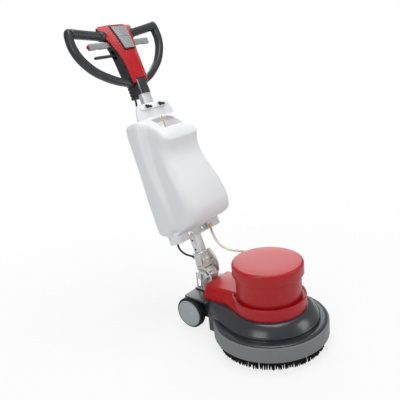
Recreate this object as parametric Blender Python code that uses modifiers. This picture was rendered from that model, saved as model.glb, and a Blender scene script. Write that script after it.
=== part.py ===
"""Single-disc floor scrubber: a brush deck with a motor, a tilting stem, a solution tank and a handle.

Metres, +Z up. The brush turns about a vertical axis at the front (-Y), the operator stands at +Y.
The origin is on the floor under the middle of the whole machine. The stem and everything on it are
drawn along the stem's own axis, x across, y towards the operator and z up the stem, and hang on an
empty at the tilt pivot that leans them back.
"""
from math import cos, pi, radians, sin

import bmesh
import bpy
from mathutils import Matrix, Vector

# Driving dimensions of the machine.
FRAME_SHIFT = 0.2339        # from the brush axis back to the origin
BUMPER_R = 0.220            # a 17 inch machine
FLOOR_TO_BUMPER = 0.0427
BUMPER_TOP = 0.100
BRISTLE_R = 0.2145
DECK_TOP = 0.157
COLLAR_R = 0.1404
COLLAR_TOP = 0.203
MOTOR_R = 0.1234
MOTOR_TOP = 0.289
CAP_R = 0.1338
CAP_TOP = 0.3355
GAP = 0.0003                # between pieces that touch
WALL = 0.003                # moulded walls

PIVOT_Y = 0.2909            # tilt pivot, from the brush axis
PIVOT_Z = 0.2086
LEAN = radians(18.8)        # the stem leans back to the operator

WHEEL_Y = 0.3077
WHEEL_Z = 0.0854
TYRE_R = 0.063
WHEEL_FACE = 0.1265         # outer face of the hub cap, from the middle
WHEEL_WIDTH = 0.034

STEM_W = 0.048
STEM_D = 0.028
STEM_FOOT = 0.052           # stem tube's lower end, up the stem from the pivot
STEM_END = 0.834

BAR_S = 0.040               # grip axis, behind the stem's axis
BAR_H = 1.053               # height of the grips' outer ends, from which they fall to the head
BAR_R = 0.0185
GRIP_ROOT = 0.0665          # where a grip meets the head, from the middle
GRIP_END = 0.2080
GRIP_FALL = 0.155           # fall of a grip towards the head for each metre along it

SUN_TEETH = 10
PLANET_TEETH = 35
RING_TEETH = 80
GEAR_MODULE = 0.0018
GEAR_Z = 0.1083
GEAR_FACE = 0.019

FINE = 32                   # segments round the large turned pieces
ROUND = 24
SMALL = 16

# Colours, as red, green, blue, roughness, metallic.
RED = (0.52, 0.012, 0.02, 0.25, 0.0)
DARK = (0.06, 0.065, 0.07, 0.35, 0.0)
BUMPER_GREY = (0.24, 0.245, 0.25, 0.6, 0.0)
PANEL_GREY = (0.22, 0.225, 0.23, 0.4, 0.0)
BLACK = (0.012, 0.012, 0.013, 0.6, 0.0)
MILKY = (0.86, 0.87, 0.88, 0.4, 0.0)
TYRE_BLACK = (0.02, 0.021, 0.023, 0.7, 0.0)
HUB_GREY = (0.33, 0.36, 0.38, 0.45, 0.0)
ALUMINIUM = (0.75, 0.75, 0.74, 0.3, 1.0)
STEEL = (0.6, 0.6, 0.6, 0.35, 1.0)
IRON = (0.2, 0.2, 0.2, 0.5, 1.0)
BRASS = (0.65, 0.45, 0.16, 0.35, 1.0)
CREAM = (0.85, 0.82, 0.72, 0.45, 0.0)


def clear_scene():
    for obj in list(bpy.data.objects):
        bpy.data.objects.remove(obj, do_unlink=True)


def new_collection(name, hidden=False):
    collection = bpy.data.collections.new(name)
    bpy.context.scene.collection.children.link(collection)
    collection.hide_render = hidden
    return collection


clear_scene()
PARTS = new_collection("floor_scrubber")
CUTTERS = new_collection("cutters", hidden=True)


def empty(name, location=(0, 0, 0), rotation=(0, 0, 0), parent=None):
    obj = bpy.data.objects.new(name, None)
    PARTS.objects.link(obj)
    obj.location = location
    obj.rotation_euler = rotation
    obj.parent = parent
    return obj


MACHINE = empty("machine", (0, -FRAME_SHIFT, 0))
HANDLE = empty("handle_pivot", (0, PIVOT_Y, PIVOT_Z), (-LEAN, 0, 0), MACHINE)


def material(name, look):
    mat = bpy.data.materials.new(name)
    mat.use_nodes = True
    shader = mat.node_tree.nodes["Principled BSDF"]
    shader.inputs["Base Color"].default_value = (*look[:3], 1)
    shader.inputs["Roughness"].default_value = look[3]
    shader.inputs["Metallic"].default_value = look[4]
    return mat


def place(name, data, look, parent=MACHINE, location=(0, 0, 0), rotation=(0, 0, 0)):
    """Link a piece with its own material; look None makes it a cutter or a piece to join."""
    obj = bpy.data.objects.new(name, data)
    if look is None:
        CUTTERS.objects.link(obj)
        obj.hide_render = True
        obj.display_type = "WIRE"
    else:
        PARTS.objects.link(obj)
        data.materials.append(material(name, look))
    obj.parent = parent
    obj.location = location
    obj.rotation_euler = rotation
    return obj


def mesh_of(bm, name, smooth=False):
    mesh = bpy.data.meshes.new(name)
    bm.to_mesh(mesh)
    bm.free()
    if smooth:
        mesh.shade_smooth()
        mesh.set_sharp_from_angle(angle=radians(40))
    return mesh


def bevel(obj, width, segments=1):
    mod = obj.modifiers.new("Bevel", "BEVEL")
    mod.width = width
    mod.segments = segments
    mod.limit_method = "ANGLE"
    mod.angle_limit = radians(35)
    return obj


def combine(obj, other, operation):
    mod = obj.modifiers.new(operation.title(), "BOOLEAN")
    mod.operation = operation
    mod.solver = "EXACT"
    mod.object = other
    return obj


def cut(obj, *others):
    for other in others:
        combine(obj, other, "DIFFERENCE")
    return obj


def join(obj, *others):
    for other in others:
        combine(obj, other, "UNION")
    return obj


def box(name, low, high, look=None, parent=MACHINE, rounded=0.0, segments=1):
    """A block between two corners, with its origin in its middle."""
    size = [b - a for a, b in zip(low, high)]
    centre = [(a + b) / 2 for a, b in zip(low, high)]
    bm = bmesh.new()
    bmesh.ops.create_cube(bm, size=1.0)
    bmesh.ops.scale(bm, vec=size, verts=bm.verts)
    obj = place(name, mesh_of(bm, name), look, parent, centre)
    return bevel(obj, rounded, segments) if rounded else obj


def rod(name, radius, start, end, look=None, parent=MACHINE, segments=SMALL, radius_end=None):
    """A round bar from one point to another."""
    start, end = Vector(start), Vector(end)
    bm = bmesh.new()
    bmesh.ops.create_cone(bm, cap_ends=True, segments=segments, radius1=radius,
                          radius2=radius_end or radius, depth=(end - start).length)
    obj = place(name, mesh_of(bm, name, True), look, parent, (start + end) / 2)
    obj.rotation_euler = (end - start).to_track_quat("Z", "Y").to_euler()
    return obj


def turned(name, profile, look=None, parent=MACHINE, steps=FINE, closed=True,
           location=(0, 0, 0), rotation=(0, 0, 0)):
    """Spin a profile of (radius, height) points, which runs down its outer side, about local Z."""
    mesh = bpy.data.meshes.new(name)
    edges = [(i, i + 1) for i in range(len(profile) - 1)]
    if closed:
        edges.append((len(profile) - 1, 0))
    mesh.from_pydata([(r, 0, z) for r, z in profile], edges, [])
    obj = place(name, mesh, look, parent, location, rotation)
    mod = obj.modifiers.new("Screw", "SCREW")
    mod.angle = 2 * pi
    mod.steps = mod.render_steps = steps
    mod.use_merge_vertices = True
    mod.merge_threshold = 0.00001
    mod.use_smooth_shade = True
    return obj


def ring(name, outer, inner, low, high, look=None, parent=MACHINE, steps=ROUND, chamfer=0.0,
         location=(0, 0, 0), rotation=(0, 0, 0)):
    """A plain turned ring; its outer edges may be chamfered."""
    c = chamfer
    profile = [(outer - c, high), (outer, high - c)] if c else [(outer, high)]
    profile += [(outer, low + c), (outer - c, low)] if c else [(outer, low)]
    profile += [(inner, low), (inner, high)]
    return turned(name, profile, look, parent, steps, True, location, rotation)


def arc(centre_x, centre_y, radius, start, end, count):
    """Points on an arc; the angles are in degrees."""
    angles = [radians(start + (end - start) * i / (count - 1)) for i in range(count)]
    return [(centre_x + radius * cos(t), centre_y + radius * sin(t)) for t in angles]


def rounded_rect(half_x, y0, y1, radius, count=3):
    """A rectangle with round corners, anticlockwise from its lower right corner."""
    pts = []
    corners = [(half_x - radius, y0 + radius, -90), (half_x - radius, y1 - radius, 0),
               (-half_x + radius, y1 - radius, 90), (-half_x + radius, y0 + radius, 180)]
    for x, y, start in corners:
        pts += arc(x, y, radius, start, start + 90, count)
    return pts


def as_mesh(obj):
    """Turn a curve piece into a welded mesh piece, so that it can be cut or joined."""
    mesh = bpy.data.meshes.new_from_object(obj.evaluated_get(bpy.context.evaluated_depsgraph_get()))
    bm = bmesh.new()
    bm.from_mesh(mesh)
    bmesh.ops.remove_doubles(bm, verts=bm.verts, dist=0.000001)
    bmesh.ops.recalc_face_normals(bm, faces=bm.faces)
    bm.to_mesh(mesh)
    bm.free()
    name, curve = obj.name, obj.data
    new = bpy.data.objects.new(name + "_solid", mesh)
    for collection in obj.users_collection:
        collection.objects.link(new)
    new.hide_render = obj.hide_render
    new.display_type = obj.display_type
    new.parent = obj.parent
    new.matrix_local = obj.matrix_local.copy()
    bpy.data.objects.remove(obj, do_unlink=True)
    bpy.data.curves.remove(curve)
    new.name = name
    return new


def plate(name, outlines, low, high, look=None, parent=MACHINE, location=(0, 0, 0),
          rotation=(0, 0, 0)):
    """Flat outlines, the first one the outer, extruded along local Z from low to high."""
    curve = bpy.data.curves.new(name, "CURVE")
    curve.dimensions = "2D"
    curve.fill_mode = "BOTH"
    curve.extrude = (high - low) / 2
    for outline in outlines:
        spline = curve.splines.new("POLY")
        spline.points.add(len(outline) - 1)
        for point, (x, y) in zip(spline.points, outline):
            point.co = (x, y, 0, 1)
        spline.use_cyclic_u = True
    offset = Matrix.Translation((0, 0, (low + high) / 2))
    obj = place(name, curve, look, parent, location, rotation)
    obj.matrix_local = obj.matrix_basis @ offset
    bpy.context.view_layer.update()
    return as_mesh(obj)


def circle(x, y, radius, count=SMALL):
    return arc(x, y, radius, 0, 360 - 360 / count, count)


def loft(name, rings, look=None, parent=MACHINE, cap_start=True, cap_end=True, smooth=True):
    """Skin a row of rings with the same number of (x, y, z) points each; an end may stay open."""
    bm = bmesh.new()
    rows = [[bm.verts.new(p) for p in points] for points in rings]
    count = len(rows[0])
    for a, b in zip(rows, rows[1:]):
        for i in range(count):
            j = (i + 1) % count
            bm.faces.new((a[i], a[j], b[j], b[i]))
    caps = [bm.faces.new(reversed(rows[0])), bm.faces.new(rows[-1])]
    bmesh.ops.recalc_face_normals(bm, faces=bm.faces)
    unwanted = [cap for cap, keep in zip(caps, (cap_start, cap_end)) if not keep]
    bmesh.ops.delete(bm, geom=unwanted, context="FACES_ONLY")
    return place(name, mesh_of(bm, name, smooth), look, parent)


def smooth_path(points, count):
    """Evenly spread points on a smooth curve through the given ones."""
    pts = [Vector(p) for p in points]
    ends = [2 * pts[0] - pts[1]] + pts + [2 * pts[-1] - pts[-2]]
    dense = []
    for a, b, c, d in zip(ends, ends[1:], ends[2:], ends[3:]):
        for i in range(20):
            t = i / 20
            dense.append(0.5 * (2 * b + (c - a) * t + (2 * a - 5 * b + 4 * c - d) * t ** 2
                                + (3 * b - 3 * c + d - a) * t ** 3))
    dense.append(pts[-1])
    lengths = [0.0]
    for p, q in zip(dense, dense[1:]):
        lengths.append(lengths[-1] + (q - p).length)
    path, k = [], 0
    for i in range(count):
        target = lengths[-1] * i / (count - 1)
        while k < len(dense) - 2 and lengths[k + 1] < target:
            k += 1
        share = (target - lengths[k]) / max(lengths[k + 1] - lengths[k], 1e-9)
        path.append(dense[k].lerp(dense[k + 1], min(share, 1.0)))
    return path


def tube(name, points, radius, look, parent=MACHINE, count=24, resolution=2):
    curve = bpy.data.curves.new(name, "CURVE")
    curve.dimensions = "3D"
    curve.bevel_depth = radius
    curve.bevel_resolution = resolution
    curve.use_fill_caps = True
    spline = curve.splines.new("POLY")
    spline.points.add(count - 1)
    for point, co in zip(spline.points, smooth_path(points, count)):
        point.co = (*co, 1)
    return place(name, curve, look, parent)


# ---------------------------------------------------------------- brush deck

def bell_profile():
    """Outer side of the deck: a flat crown, a hollow flare, the lip, a step and the flange."""
    flare = [(0.146 + 0.035 * t, DECK_TOP - 0.037 * t ** 1.6) for t in (0, 0.33, 0.66, 1)]
    return ([(0, DECK_TOP)] + flare + [(0.185, 0.1165), (0.1855, 0.1085), (0.188, 0.1065),
            (0.2115, 0.1065), (0.2135, 0.1045), (0.2135, 0.1003), (0, 0.1003)])


def deck_housing():
    """Cast deck: bell, rear arm and the fenders over the wheels, all open underneath."""
    deck = turned("deck_housing", bell_profile(), DARK, closed=False)
    shoulder = box("deck_shoulder", (-0.115, 0.10, 0.031), (0.115, 0.217, 0.1555), rounded=0.007)
    arm = box("deck_arm", (-0.082, 0.18, 0.062), (0.082, 0.334, 0.1557), rounded=0.006)
    fender = box("deck_fender", (-0.1175, 0.205, 0.1503), (0.1175, 0.3335, 0.1565), rounded=0.002)
    join(deck, shoulder, arm, fender)
    ring_space = rod("bumper_space", BUMPER_R + 0.0006, (0, 0, 0), (0, 0, 0.1003), segments=FINE)
    hollow = turned("bell_hollow", [(0, 0.1525), (0.118, 0.1525), (0.172, 0.112), (0.178, 0.105),
                                    (0.178, 0.05), (0, 0.05)], closed=False)
    shoulder_hollow = box("shoulder_hollow", (-0.111, 0.150, 0.02), (0.111, 0.213, 0.1465))
    arm_hollow = box("arm_hollow", (-0.078, 0.185, 0.02), (0.078, 0.330, 0.1463))
    motor_hole = rod("motor_hole", 0.1, (0, 0, 0.1), (0, 0, 0.2), segments=ROUND)
    axle_hole = rod("axle_hole", 0.0063, (-0.1, WHEEL_Y, WHEEL_Z), (0.1, WHEEL_Y, WHEEL_Z))
    return cut(deck, ring_space, hollow, shoulder_hollow, arm_hollow, motor_hole, axle_hole)


def bumper_ring():
    r, low, high = BUMPER_R, FLOOR_TO_BUMPER, BUMPER_TOP
    profile = [(r - 0.004, high), (r - 0.001, high - 0.003), (r, 0.085), (r, 0.058),
               (r - 0.001, low + 0.003), (r - 0.004, low), (r - 0.0065, low), (r - 0.0065, high)]
    turned("bumper_ring", profile, BUMPER_GREY)


def rear_cover():
    """Red collar round the motor's foot, in one piece with the ribbed box behind it."""
    collar = turned("rear_cover", [(COLLAR_R - 0.004, COLLAR_TOP), (COLLAR_R, COLLAR_TOP - 0.004),
                                   (COLLAR_R, DECK_TOP + GAP), (0.1375, DECK_TOP + GAP),
                                   (0.1375, 0.198), (MOTOR_R + 0.0006, 0.198),
                                   (MOTOR_R + 0.0006, COLLAR_TOP)], RED)
    low, high = DECK_TOP + GAP, 0.206
    rings = []
    for z, half, back, r in ((low, 0.0955, 0.2525, 0.010), (0.185, 0.0855, 0.2535, 0.010),
                             (high - 0.005, 0.0745, 0.2545, 0.010), (high, 0.069, 0.250, 0.008)):
        rings.append([(x, y, z) for x, y in rounded_rect(half, 0.06, back, r)])
    case = loft("rear_case", rings)
    inner = []
    for z, half, back in ((low - 0.01, 0.0945, 0.2495), (0.185, 0.0825, 0.2505), (0.2025, 0.069, 0.248)):
        inner.append([(x, y, z) for x, y in rounded_rect(half, 0.05, back, 0.006)])
    join(collar, case)
    hollow = loft("rear_case_hollow", inner)
    bore = rod("collar_bore", 0.1377, (0, 0, 0.15), (0, 0, 0.1976), segments=FINE)
    throat = rod("collar_throat", MOTOR_R + 0.0004, (0, 0, 0.15), (0, 0, 0.25), segments=FINE)
    cut(collar, hollow, bore, throat)


def motor_covers():
    """Red motor shell, open at both ends, and the cap that sits over it."""
    ring("motor_shroud", MOTOR_R, MOTOR_R - WALL, 0.1605, MOTOR_TOP - GAP, RED, steps=FINE)
    edge = arc(CAP_R - 0.009, CAP_TOP - 0.009, 0.009, 90, 0, 4)
    profile = ([(0, CAP_TOP)] + edge + [(CAP_R, MOTOR_TOP), (CAP_R - WALL, MOTOR_TOP),
               (CAP_R - WALL, CAP_TOP - 0.008), (CAP_R - 0.008, CAP_TOP - WALL), (0, CAP_TOP - WALL)])
    cap = turned("motor_cap", profile, RED, closed=False)
    seat = ring("cap_seat", CAP_R - 0.002, MOTOR_R - 0.004, MOTOR_TOP + GAP, MOTOR_TOP + 0.003,
                steps=FINE)
    join(cap, seat)


# ---------------------------------------------------------------- motor and gearbox

def gear_outline(teeth, internal=False, phase=0.0):
    """Pointed teeth about the pitch circle, with a tooth, or an internal gap, at the phase."""
    pitch = GEAR_MODULE * teeth / 2
    outward, inward = (1.25, 0.75) if internal else (0.75, 1.25)
    points = []
    for i in range(teeth):
        for share, radius in ((0.0, pitch + outward * GEAR_MODULE), (0.5, pitch - inward * GEAR_MODULE)):
            angle = phase + (i + share) * 2 * pi / teeth
            points.append((radius * cos(angle), radius * sin(angle)))
    return points


def gearbox():
    """Cup with a fixed ring gear; the motor's frame closes it from above."""
    low, rim = 0.0885, 0.1303
    turned("gearbox_cup", [(0.0900, rim), (0.0900, low + 0.004), (0.086, low), (0.0165, low),
                           (0.0165, low + 0.006), (0.0855, low + 0.006), (0.0855, rim)], ALUMINIUM,
           steps=ROUND)
    teeth = gear_outline(RING_TEETH, internal=True)
    plate("ring_gear", [circle(0, 0, 0.0852, ROUND), teeth], GEAR_Z, GEAR_Z + GEAR_FACE, IRON)


def motor():
    """Stator with its winding heads, the frame under it, the upper bracket and the two bearings."""
    turned("stator", [(0.0955, 0.246), (0.0955, 0.178), (0.0865, 0.178), (0.0865, 0.166),
                      (0.076, 0.161), (0.0655, 0.166), (0.0655, 0.178), (0.0622, 0.178),
                      (0.0622, 0.246), (0.0655, 0.246), (0.0655, 0.257), (0.076, 0.262),
                      (0.0865, 0.257), (0.0865, 0.246)], IRON, steps=24)
    turned("motor_frame", [(0.1195, 0.163), (0.1195, DECK_TOP + GAP), (0.0955, DECK_TOP + GAP),
                           (0.0955, 0.1306), (0.0102, 0.1306), (0.0102, 0.1355), (0.0184, 0.1355),
                           (0.0184, 0.1455), (0.026, 0.1455), (0.030, 0.1385), (0.0905, 0.1385),
                           (0.0905, 0.163)], ALUMINIUM, steps=ROUND)
    turned("upper_bracket", [(0.1195, 0.2675), (0.1195, 0.2635), (0.030, 0.2635), (0.030, 0.2665),
                             (0.0184, 0.2665), (0.0184, 0.2785), (0.024, 0.2785), (0.030, 0.2675)],
           ALUMINIUM, steps=ROUND)
    for name, low in (("lower_bearing", 0.1358), ("upper_bearing", 0.2668)):
        ring(name, 0.0181, 0.0103, low, low + 0.009, STEEL, steps=SMALL)


def rotor():
    """Rotor pack, its shaft with the sun pinion cut on its lower end, and the cooling fan."""
    axis = empty("rotor_axis", parent=MACHINE)
    ring("rotor_core", 0.0612, 0.0103, 0.176, 0.248, IRON, axis, steps=24)
    shaft = turned("motor_shaft", [(0, 0.3085), (0.0065, 0.3085), (0.0065, 0.2855), (0.010, 0.2845),
                                   (0.010, 0.1295), (0.0065, 0.129), (0.0065, 0.1085), (0, 0.1085)],
                   STEEL, axis, steps=20, closed=False)
    pinion = plate("sun_pinion", [gear_outline(SUN_TEETH)], GEAR_Z + 0.0005, GEAR_Z + GEAR_FACE,
                   None, axis)
    join(shaft, pinion)
    hub = turned("cooling_fan", [(0.016, 0.302), (0.016, 0.290), (0.092, 0.290), (0.092, 0.2875),
                                 (0.0068, 0.2875), (0.0068, 0.302)], DARK, axis, steps=ROUND)
    for i in range(6):
        blade = box("fan_blade", (0.030, -0.001, 0.289), (0.090, 0.001, 0.302), parent=axis)
        blade.location = Matrix.Rotation(i * pi / 3, 3, "Z") @ blade.location
        blade.rotation_euler = (0, 0, i * pi / 3)
        join(hub, blade)


def planet_gears(axis):
    """Three planets between the pinion and the ring gear, turned so that every tooth meshes."""
    radius = GEAR_MODULE * (SUN_TEETH + PLANET_TEETH) / 2
    for i in range(3):
        angle = i * 2 * pi / 3
        phase = angle * (1 - RING_TEETH / PLANET_TEETH)
        spot = empty(f"planet_axis_{i + 1}", (radius * cos(angle), radius * sin(angle), 0), parent=axis)
        outline = gear_outline(PLANET_TEETH, phase=phase)
        plate(f"planet_gear_{i + 1}", [outline, circle(0, 0, 0.0064, 20)], GEAR_Z, GEAR_Z + GEAR_FACE,
              IRON, spot)


# ---------------------------------------------------------------- brush and its drive

def brush():
    """Planet carrier with its output hub, the clutch plate, the brush block and the bristles."""
    axis = empty("brush_axis", parent=MACHINE)
    carrier = turned("planet_carrier", [(0, 0.1065), (0.052, 0.1065), (0.052, 0.0975),
                                        (0.0160, 0.0975), (0.0160, 0.0805), (0, 0.0805)], STEEL, axis,
                     closed=False, steps=ROUND)
    radius = GEAR_MODULE * (SUN_TEETH + PLANET_TEETH) / 2
    for i in range(3):
        angle = i * 2 * pi / 3
        x, y = radius * cos(angle), radius * sin(angle)
        join(carrier, rod("planet_pin", 0.006, (x, y, 0.105), (x, y, 0.1285), parent=axis, segments=20))
    planet_gears(axis)
    ring("clutch_plate", 0.070, 0.020, 0.0715, 0.0802, STEEL, axis, steps=ROUND)
    turned("brush_block", [(0.2035, 0.070), (0.2055, 0.066), (0.2055, 0.0475), (0.066, 0.0475),
                           (0.066, 0.0545), (0.030, 0.0545), (0.030, 0.070)], BLACK, axis)
    turned("bristle_ring", [(0.2045, 0.0472), (0.2085, 0.030), (BRISTLE_R, 0.0), (0.078, 0.0),
                            (0.082, 0.0472)], BLACK, axis)


# ---------------------------------------------------------------- wheels

def wheels():
    """Two wheels on one fixed axle under the rear of the deck."""
    inner = WHEEL_FACE - WHEEL_WIDTH
    axle = rod("axle", 0.006, (-WHEEL_FACE + 0.007, WHEEL_Y, WHEEL_Z),
               (WHEEL_FACE - 0.007, WHEEL_Y, WHEEL_Z), STEEL)
    for a, b in ((-inner + GAP, -0.0823), (0.0823, inner - GAP)):
        join(axle, rod("axle_collar", 0.010, (a, WHEEL_Y, WHEEL_Z), (b, WHEEL_Y, WHEEL_Z)))
    for side, name in ((-1, "left"), (1, "right")):
        axis = empty(f"wheel_axis_{name}", (0, WHEEL_Y, WHEEL_Z), (0, side * pi / 2, 0), MACHINE)
        tread = (arc(TYRE_R - 0.007, WHEEL_FACE - 0.009, 0.007, 90, 0, 3)
                 + arc(TYRE_R - 0.007, inner + 0.009, 0.007, 0, -90, 3)
                 + [(0.0553, inner + 0.002), (0.0553, WHEEL_FACE - 0.002)])
        turned(f"tyre_{name}", tread, TYRE_BLACK, axis, steps=32)
        face = WHEEL_FACE
        hub = [(0, face), (0.030, face), (0.052, face - 0.0012), (0.055, face - 0.004),
               (0.055, inner + 0.003), (0.048, inner + 0.003), (0.044, inner + 0.016),
               (0.016, inner + 0.016), (0.016, inner), (0.0063, inner), (0.0063, face - 0.006),
               (0, face - 0.006)]
        turned(f"hub_{name}", hub, HUB_GREY, axis, steps=24, closed=False)


# ---------------------------------------------------------------- tilt yoke

def yoke_base():
    """Cast foot on the deck: a block with a notched sector that the stem's fork straddles."""
    sector = []
    for i in range(13):
        angle = radians(150 - 10 * i)
        radius = 0.0300 if i % 2 else 0.0345
        sector.append((radius * cos(angle), radius * sin(angle)))
    outline = sector + [(0.030, -0.035), (0.030, -0.0509), (-0.034, -0.0509), (-0.034, -0.035)]
    block = plate("yoke_base", [outline], -0.021, 0.021, ALUMINIUM, MACHINE, (0, PIVOT_Y, PIVOT_Z),
                  (pi / 2, 0, pi / 2))
    floor = DECK_TOP + GAP
    foot = box("yoke_foot", (-0.048, 0.2575, floor), (0.048, 0.3325, floor + 0.008), rounded=0.002)
    join(block, foot)
    bore = rod("yoke_bore", 0.0063, (-0.05, PIVOT_Y, PIVOT_Z), (0.05, PIVOT_Y, PIVOT_Z))
    window = box("yoke_window", (-0.03, PIVOT_Y - 0.018, PIVOT_Z - 0.036),
                 (0.03, PIVOT_Y + 0.016, PIVOT_Z - 0.016))
    cut(block, bore, window)
    quadrant_arc = arc(0, 0, 0.052, 60, 160, 9)
    inner_arc = arc(0, 0, 0.020, 160, 60, 7)
    quadrant = plate("tilt_quadrant", [quadrant_arc + inner_arc, arc(0, 0, 0.045, 72, 148, 7)
                                       + arc(0, 0, 0.033, 148, 72, 7)], -0.0425, -0.038, ALUMINIUM,
                     MACHINE, (0, PIVOT_Y, PIVOT_Z), (pi / 2, 0, pi / 2))
    leg = box("quadrant_leg", (-0.0425, PIVOT_Y + 0.006, floor + 0.0083), (-0.038, PIVOT_Y + 0.034,
                                                                         PIVOT_Z + 0.022))
    join(quadrant, leg)
    rod("pivot_pin", 0.006, (-0.0377, PIVOT_Y, PIVOT_Z), (0.0425, PIVOT_Y, PIVOT_Z), STEEL)


def stem_fork():
    """Cast socket that grips the stem tube's foot, with two legs down to the tilt pivot."""
    half, deep = STEM_W / 2 + 0.006, STEM_D / 2 + 0.006
    sections = ((0.040, 0.0365, 0.0165), (0.052, 0.0355, 0.018), (0.070, 0.031, 0.0195), (0.105, half, deep))
    rings = [[(x, y, h) for x, y in rounded_rect(w, -d, d, 0.006)] for h, w, d in sections]
    fork = loft("stem_fork", rings, ALUMINIUM, HANDLE)
    for side in (-1, 1):
        low, high = (0.0225, 0.0355) if side > 0 else (-0.0355, -0.0225)
        leg = plate("fork_leg", [arc(0, 0, 0.0165, 180, 360, 9) + [(0.0165, 0.045), (-0.0165, 0.045)]],
                    low, high, None, HANDLE, (0, 0, 0), (pi / 2, 0, pi / 2))
        join(fork, leg)
    socket = box("fork_socket", (-STEM_W / 2 - GAP, -STEM_D / 2 - GAP, STEM_FOOT - GAP),
                 (STEM_W / 2 + GAP, STEM_D / 2 + GAP, 0.12), parent=HANDLE)
    passage = box("rod_passage", (-0.012, -0.007, 0.03), (0.012, 0.007, 0.06), parent=HANDLE)
    bore = rod("fork_bore", 0.0063, (-0.05, 0, 0), (0.05, 0, 0), parent=HANDLE)
    cut(fork, socket, passage, bore)


# ---------------------------------------------------------------- stem

def stem():
    """Rectangular tube with two adjusting holes near its foot, and the lock rod inside it."""
    half, deep = STEM_W / 2, STEM_D / 2
    outer = rounded_rect(half, -deep, deep, 0.006)
    inner = rounded_rect(half - 0.002, -deep + 0.002, deep - 0.002, 0.004)
    tube_piece = plate("stem_tube", [outer, inner], STEM_FOOT, STEM_END, ALUMINIUM, HANDLE)
    for height in (0.118, 0.158):
        cut(tube_piece, rod("stem_hole", 0.0045, (-0.03, 0, height), (-0.015, 0, height), parent=HANDLE))
    lock_axis = empty("lock_axis", parent=HANDLE)
    lock = rod("lock_rod", 0.004, (0, 0, 0.042), (0, 0, 0.826), STEEL, lock_axis, 10)
    join(lock, box("lock_pawl", (-0.009, -0.0025, 0.0352), (0.009, 0.0025, 0.050), parent=lock_axis))


def neck():
    """Front half sleeve round the stem under the head, and the ribbed lead clamp behind it."""
    low, high = 0.776, 0.836
    outer = rounded_rect(0.0272, -0.0195, 0.0145, 0.008)
    sleeve = plate("neck_sleeve", [outer], low, high, DARK, HANDLE)
    cut(sleeve, box("sleeve_bore", (-STEM_W / 2 - GAP, -STEM_D / 2 - GAP, 0.7),
                    (STEM_W / 2 + GAP, 0.05, 0.9), parent=HANDLE))
    clamp = box("lead_clamp", (-0.029, STEM_D / 2 + 0.0008, 0.766), (0.029, 0.054, 0.834), BLACK, HANDLE,
                0.004)
    for i in range(5):
        groove = box("clamp_groove", (-0.04, 0.051, 0.7725 + i * 0.0125), (0.04, 0.06, 0.7765 + i * 0.0125),
                     parent=HANDLE)
        cut(clamp, groove)


# ---------------------------------------------------------------- solution tank

# Up the stem, slope share, front half width, front, corner radius, rear half width, rear.
TANK_SECTIONS = (
    (0.177, 0.0, 0.130, -0.036, 0.012, 0.132, 0.010),
    (0.181, 0.0, 0.132, -0.040, 0.014, 0.134, 0.014),
    (0.214, 0.0, 0.132, -0.040, 0.014, 0.134, 0.014),
    (0.221, 0.0, 0.114, -0.090, 0.040, 0.133, 0.040),
    (0.227, 0.0, 0.119, -0.118, 0.045, 0.138, 0.045),
    (0.243, 0.0, 0.124, -0.141, 0.045, 0.140, 0.047),
    (0.290, 0.0, 0.126, -0.153, 0.045, 0.140, 0.047),
    (0.365, 0.0, 0.122, -0.143, 0.045, 0.139, 0.045),
    (0.430, 0.0, 0.116, -0.124, 0.042, 0.137, 0.043),
    (0.500, 0.2, 0.110, -0.109, 0.038, 0.134, 0.041),
    (0.560, 0.5, 0.105, -0.111, 0.036, 0.133, 0.040),
    (0.615, 0.8, 0.102, -0.122, 0.034, 0.132, 0.039),
    (0.655, 1.0, 0.099, -0.129, 0.030, 0.130, 0.036),
    (0.669, 1.0, 0.091, -0.123, 0.026, 0.121, 0.029),
    (0.672, 1.0, 0.082, -0.116, 0.024, 0.110, 0.020),
)
NOTCH_HALF = 0.031          # groove in the tank's back, which the stem lies in
NOTCH_S = -0.018
MOUTH_HALF = 0.058
MOUTH_BACK = -0.037
MOUTH_FRONT = -0.099
ROOF_SLOPE = 0.89
ROOF_BEND = -0.0325         # the roof is level behind this line and falls in front of it
TANK_WALL = 0.0035
VALVE_ROD_FOOT = (0.045, -0.0200, 0.185)    # the rod leans from the drain up to the mouth
VALVE_ROD_TOP = (0.004, -0.045, 0.672)


def both_sides(half):
    """Close a half outline with its mirror image across the middle."""
    return half + [(-x, s) for x, s in reversed(half[1:-1])]


def on_roof(points, height, slope=1.0):
    """Lift an outline to a height that falls away to the front like the roof."""
    return [(x, s, height - slope * ROOF_SLOPE * max(0.0, ROOF_BEND - s)) for x, s in points]


def tank_outline(front_w, front, corner, rear_w, rear, inset):
    """Flat front with round corners, wider rear and the groove for the stem."""
    front_w, front, rear_w, rear = front_w - inset, front + inset, rear_w - inset, rear - inset
    mid = front + (rear - front) * 0.62
    step = (mid - front - corner) * 0.25
    half = [(0, front), (front_w - corner, front)]
    half += arc(front_w - corner, front + corner, corner, -60, 0, 3)
    half += [(front_w + 0.003, mid - step), (rear_w, mid)]
    half += arc(rear_w - 0.006, rear - 0.006, 0.006, 0, 90, 3)
    groove, floor = NOTCH_HALF + inset, NOTCH_S - inset
    return both_sides(half + [(groove, rear), (groove, floor), (0, floor)])


def mouth_outline(grow):
    """Rounded fill mouth, with as many points as a tank outline."""
    half_x, back, front, r = MOUTH_HALF + grow, MOUTH_BACK + grow, MOUTH_FRONT - grow, 0.012
    half = [(0, front), (half_x - r, front)] + arc(half_x - r, front + r, r, -60, 0, 3)
    half += [(half_x, front * 0.6 + back * 0.4), (half_x, front * 0.3 + back * 0.7)]
    half += arc(half_x - r, back - r, r, 0, 90, 3)
    return both_sides(half + [(0.041, back), (0.025, back), (0, back)])


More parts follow.
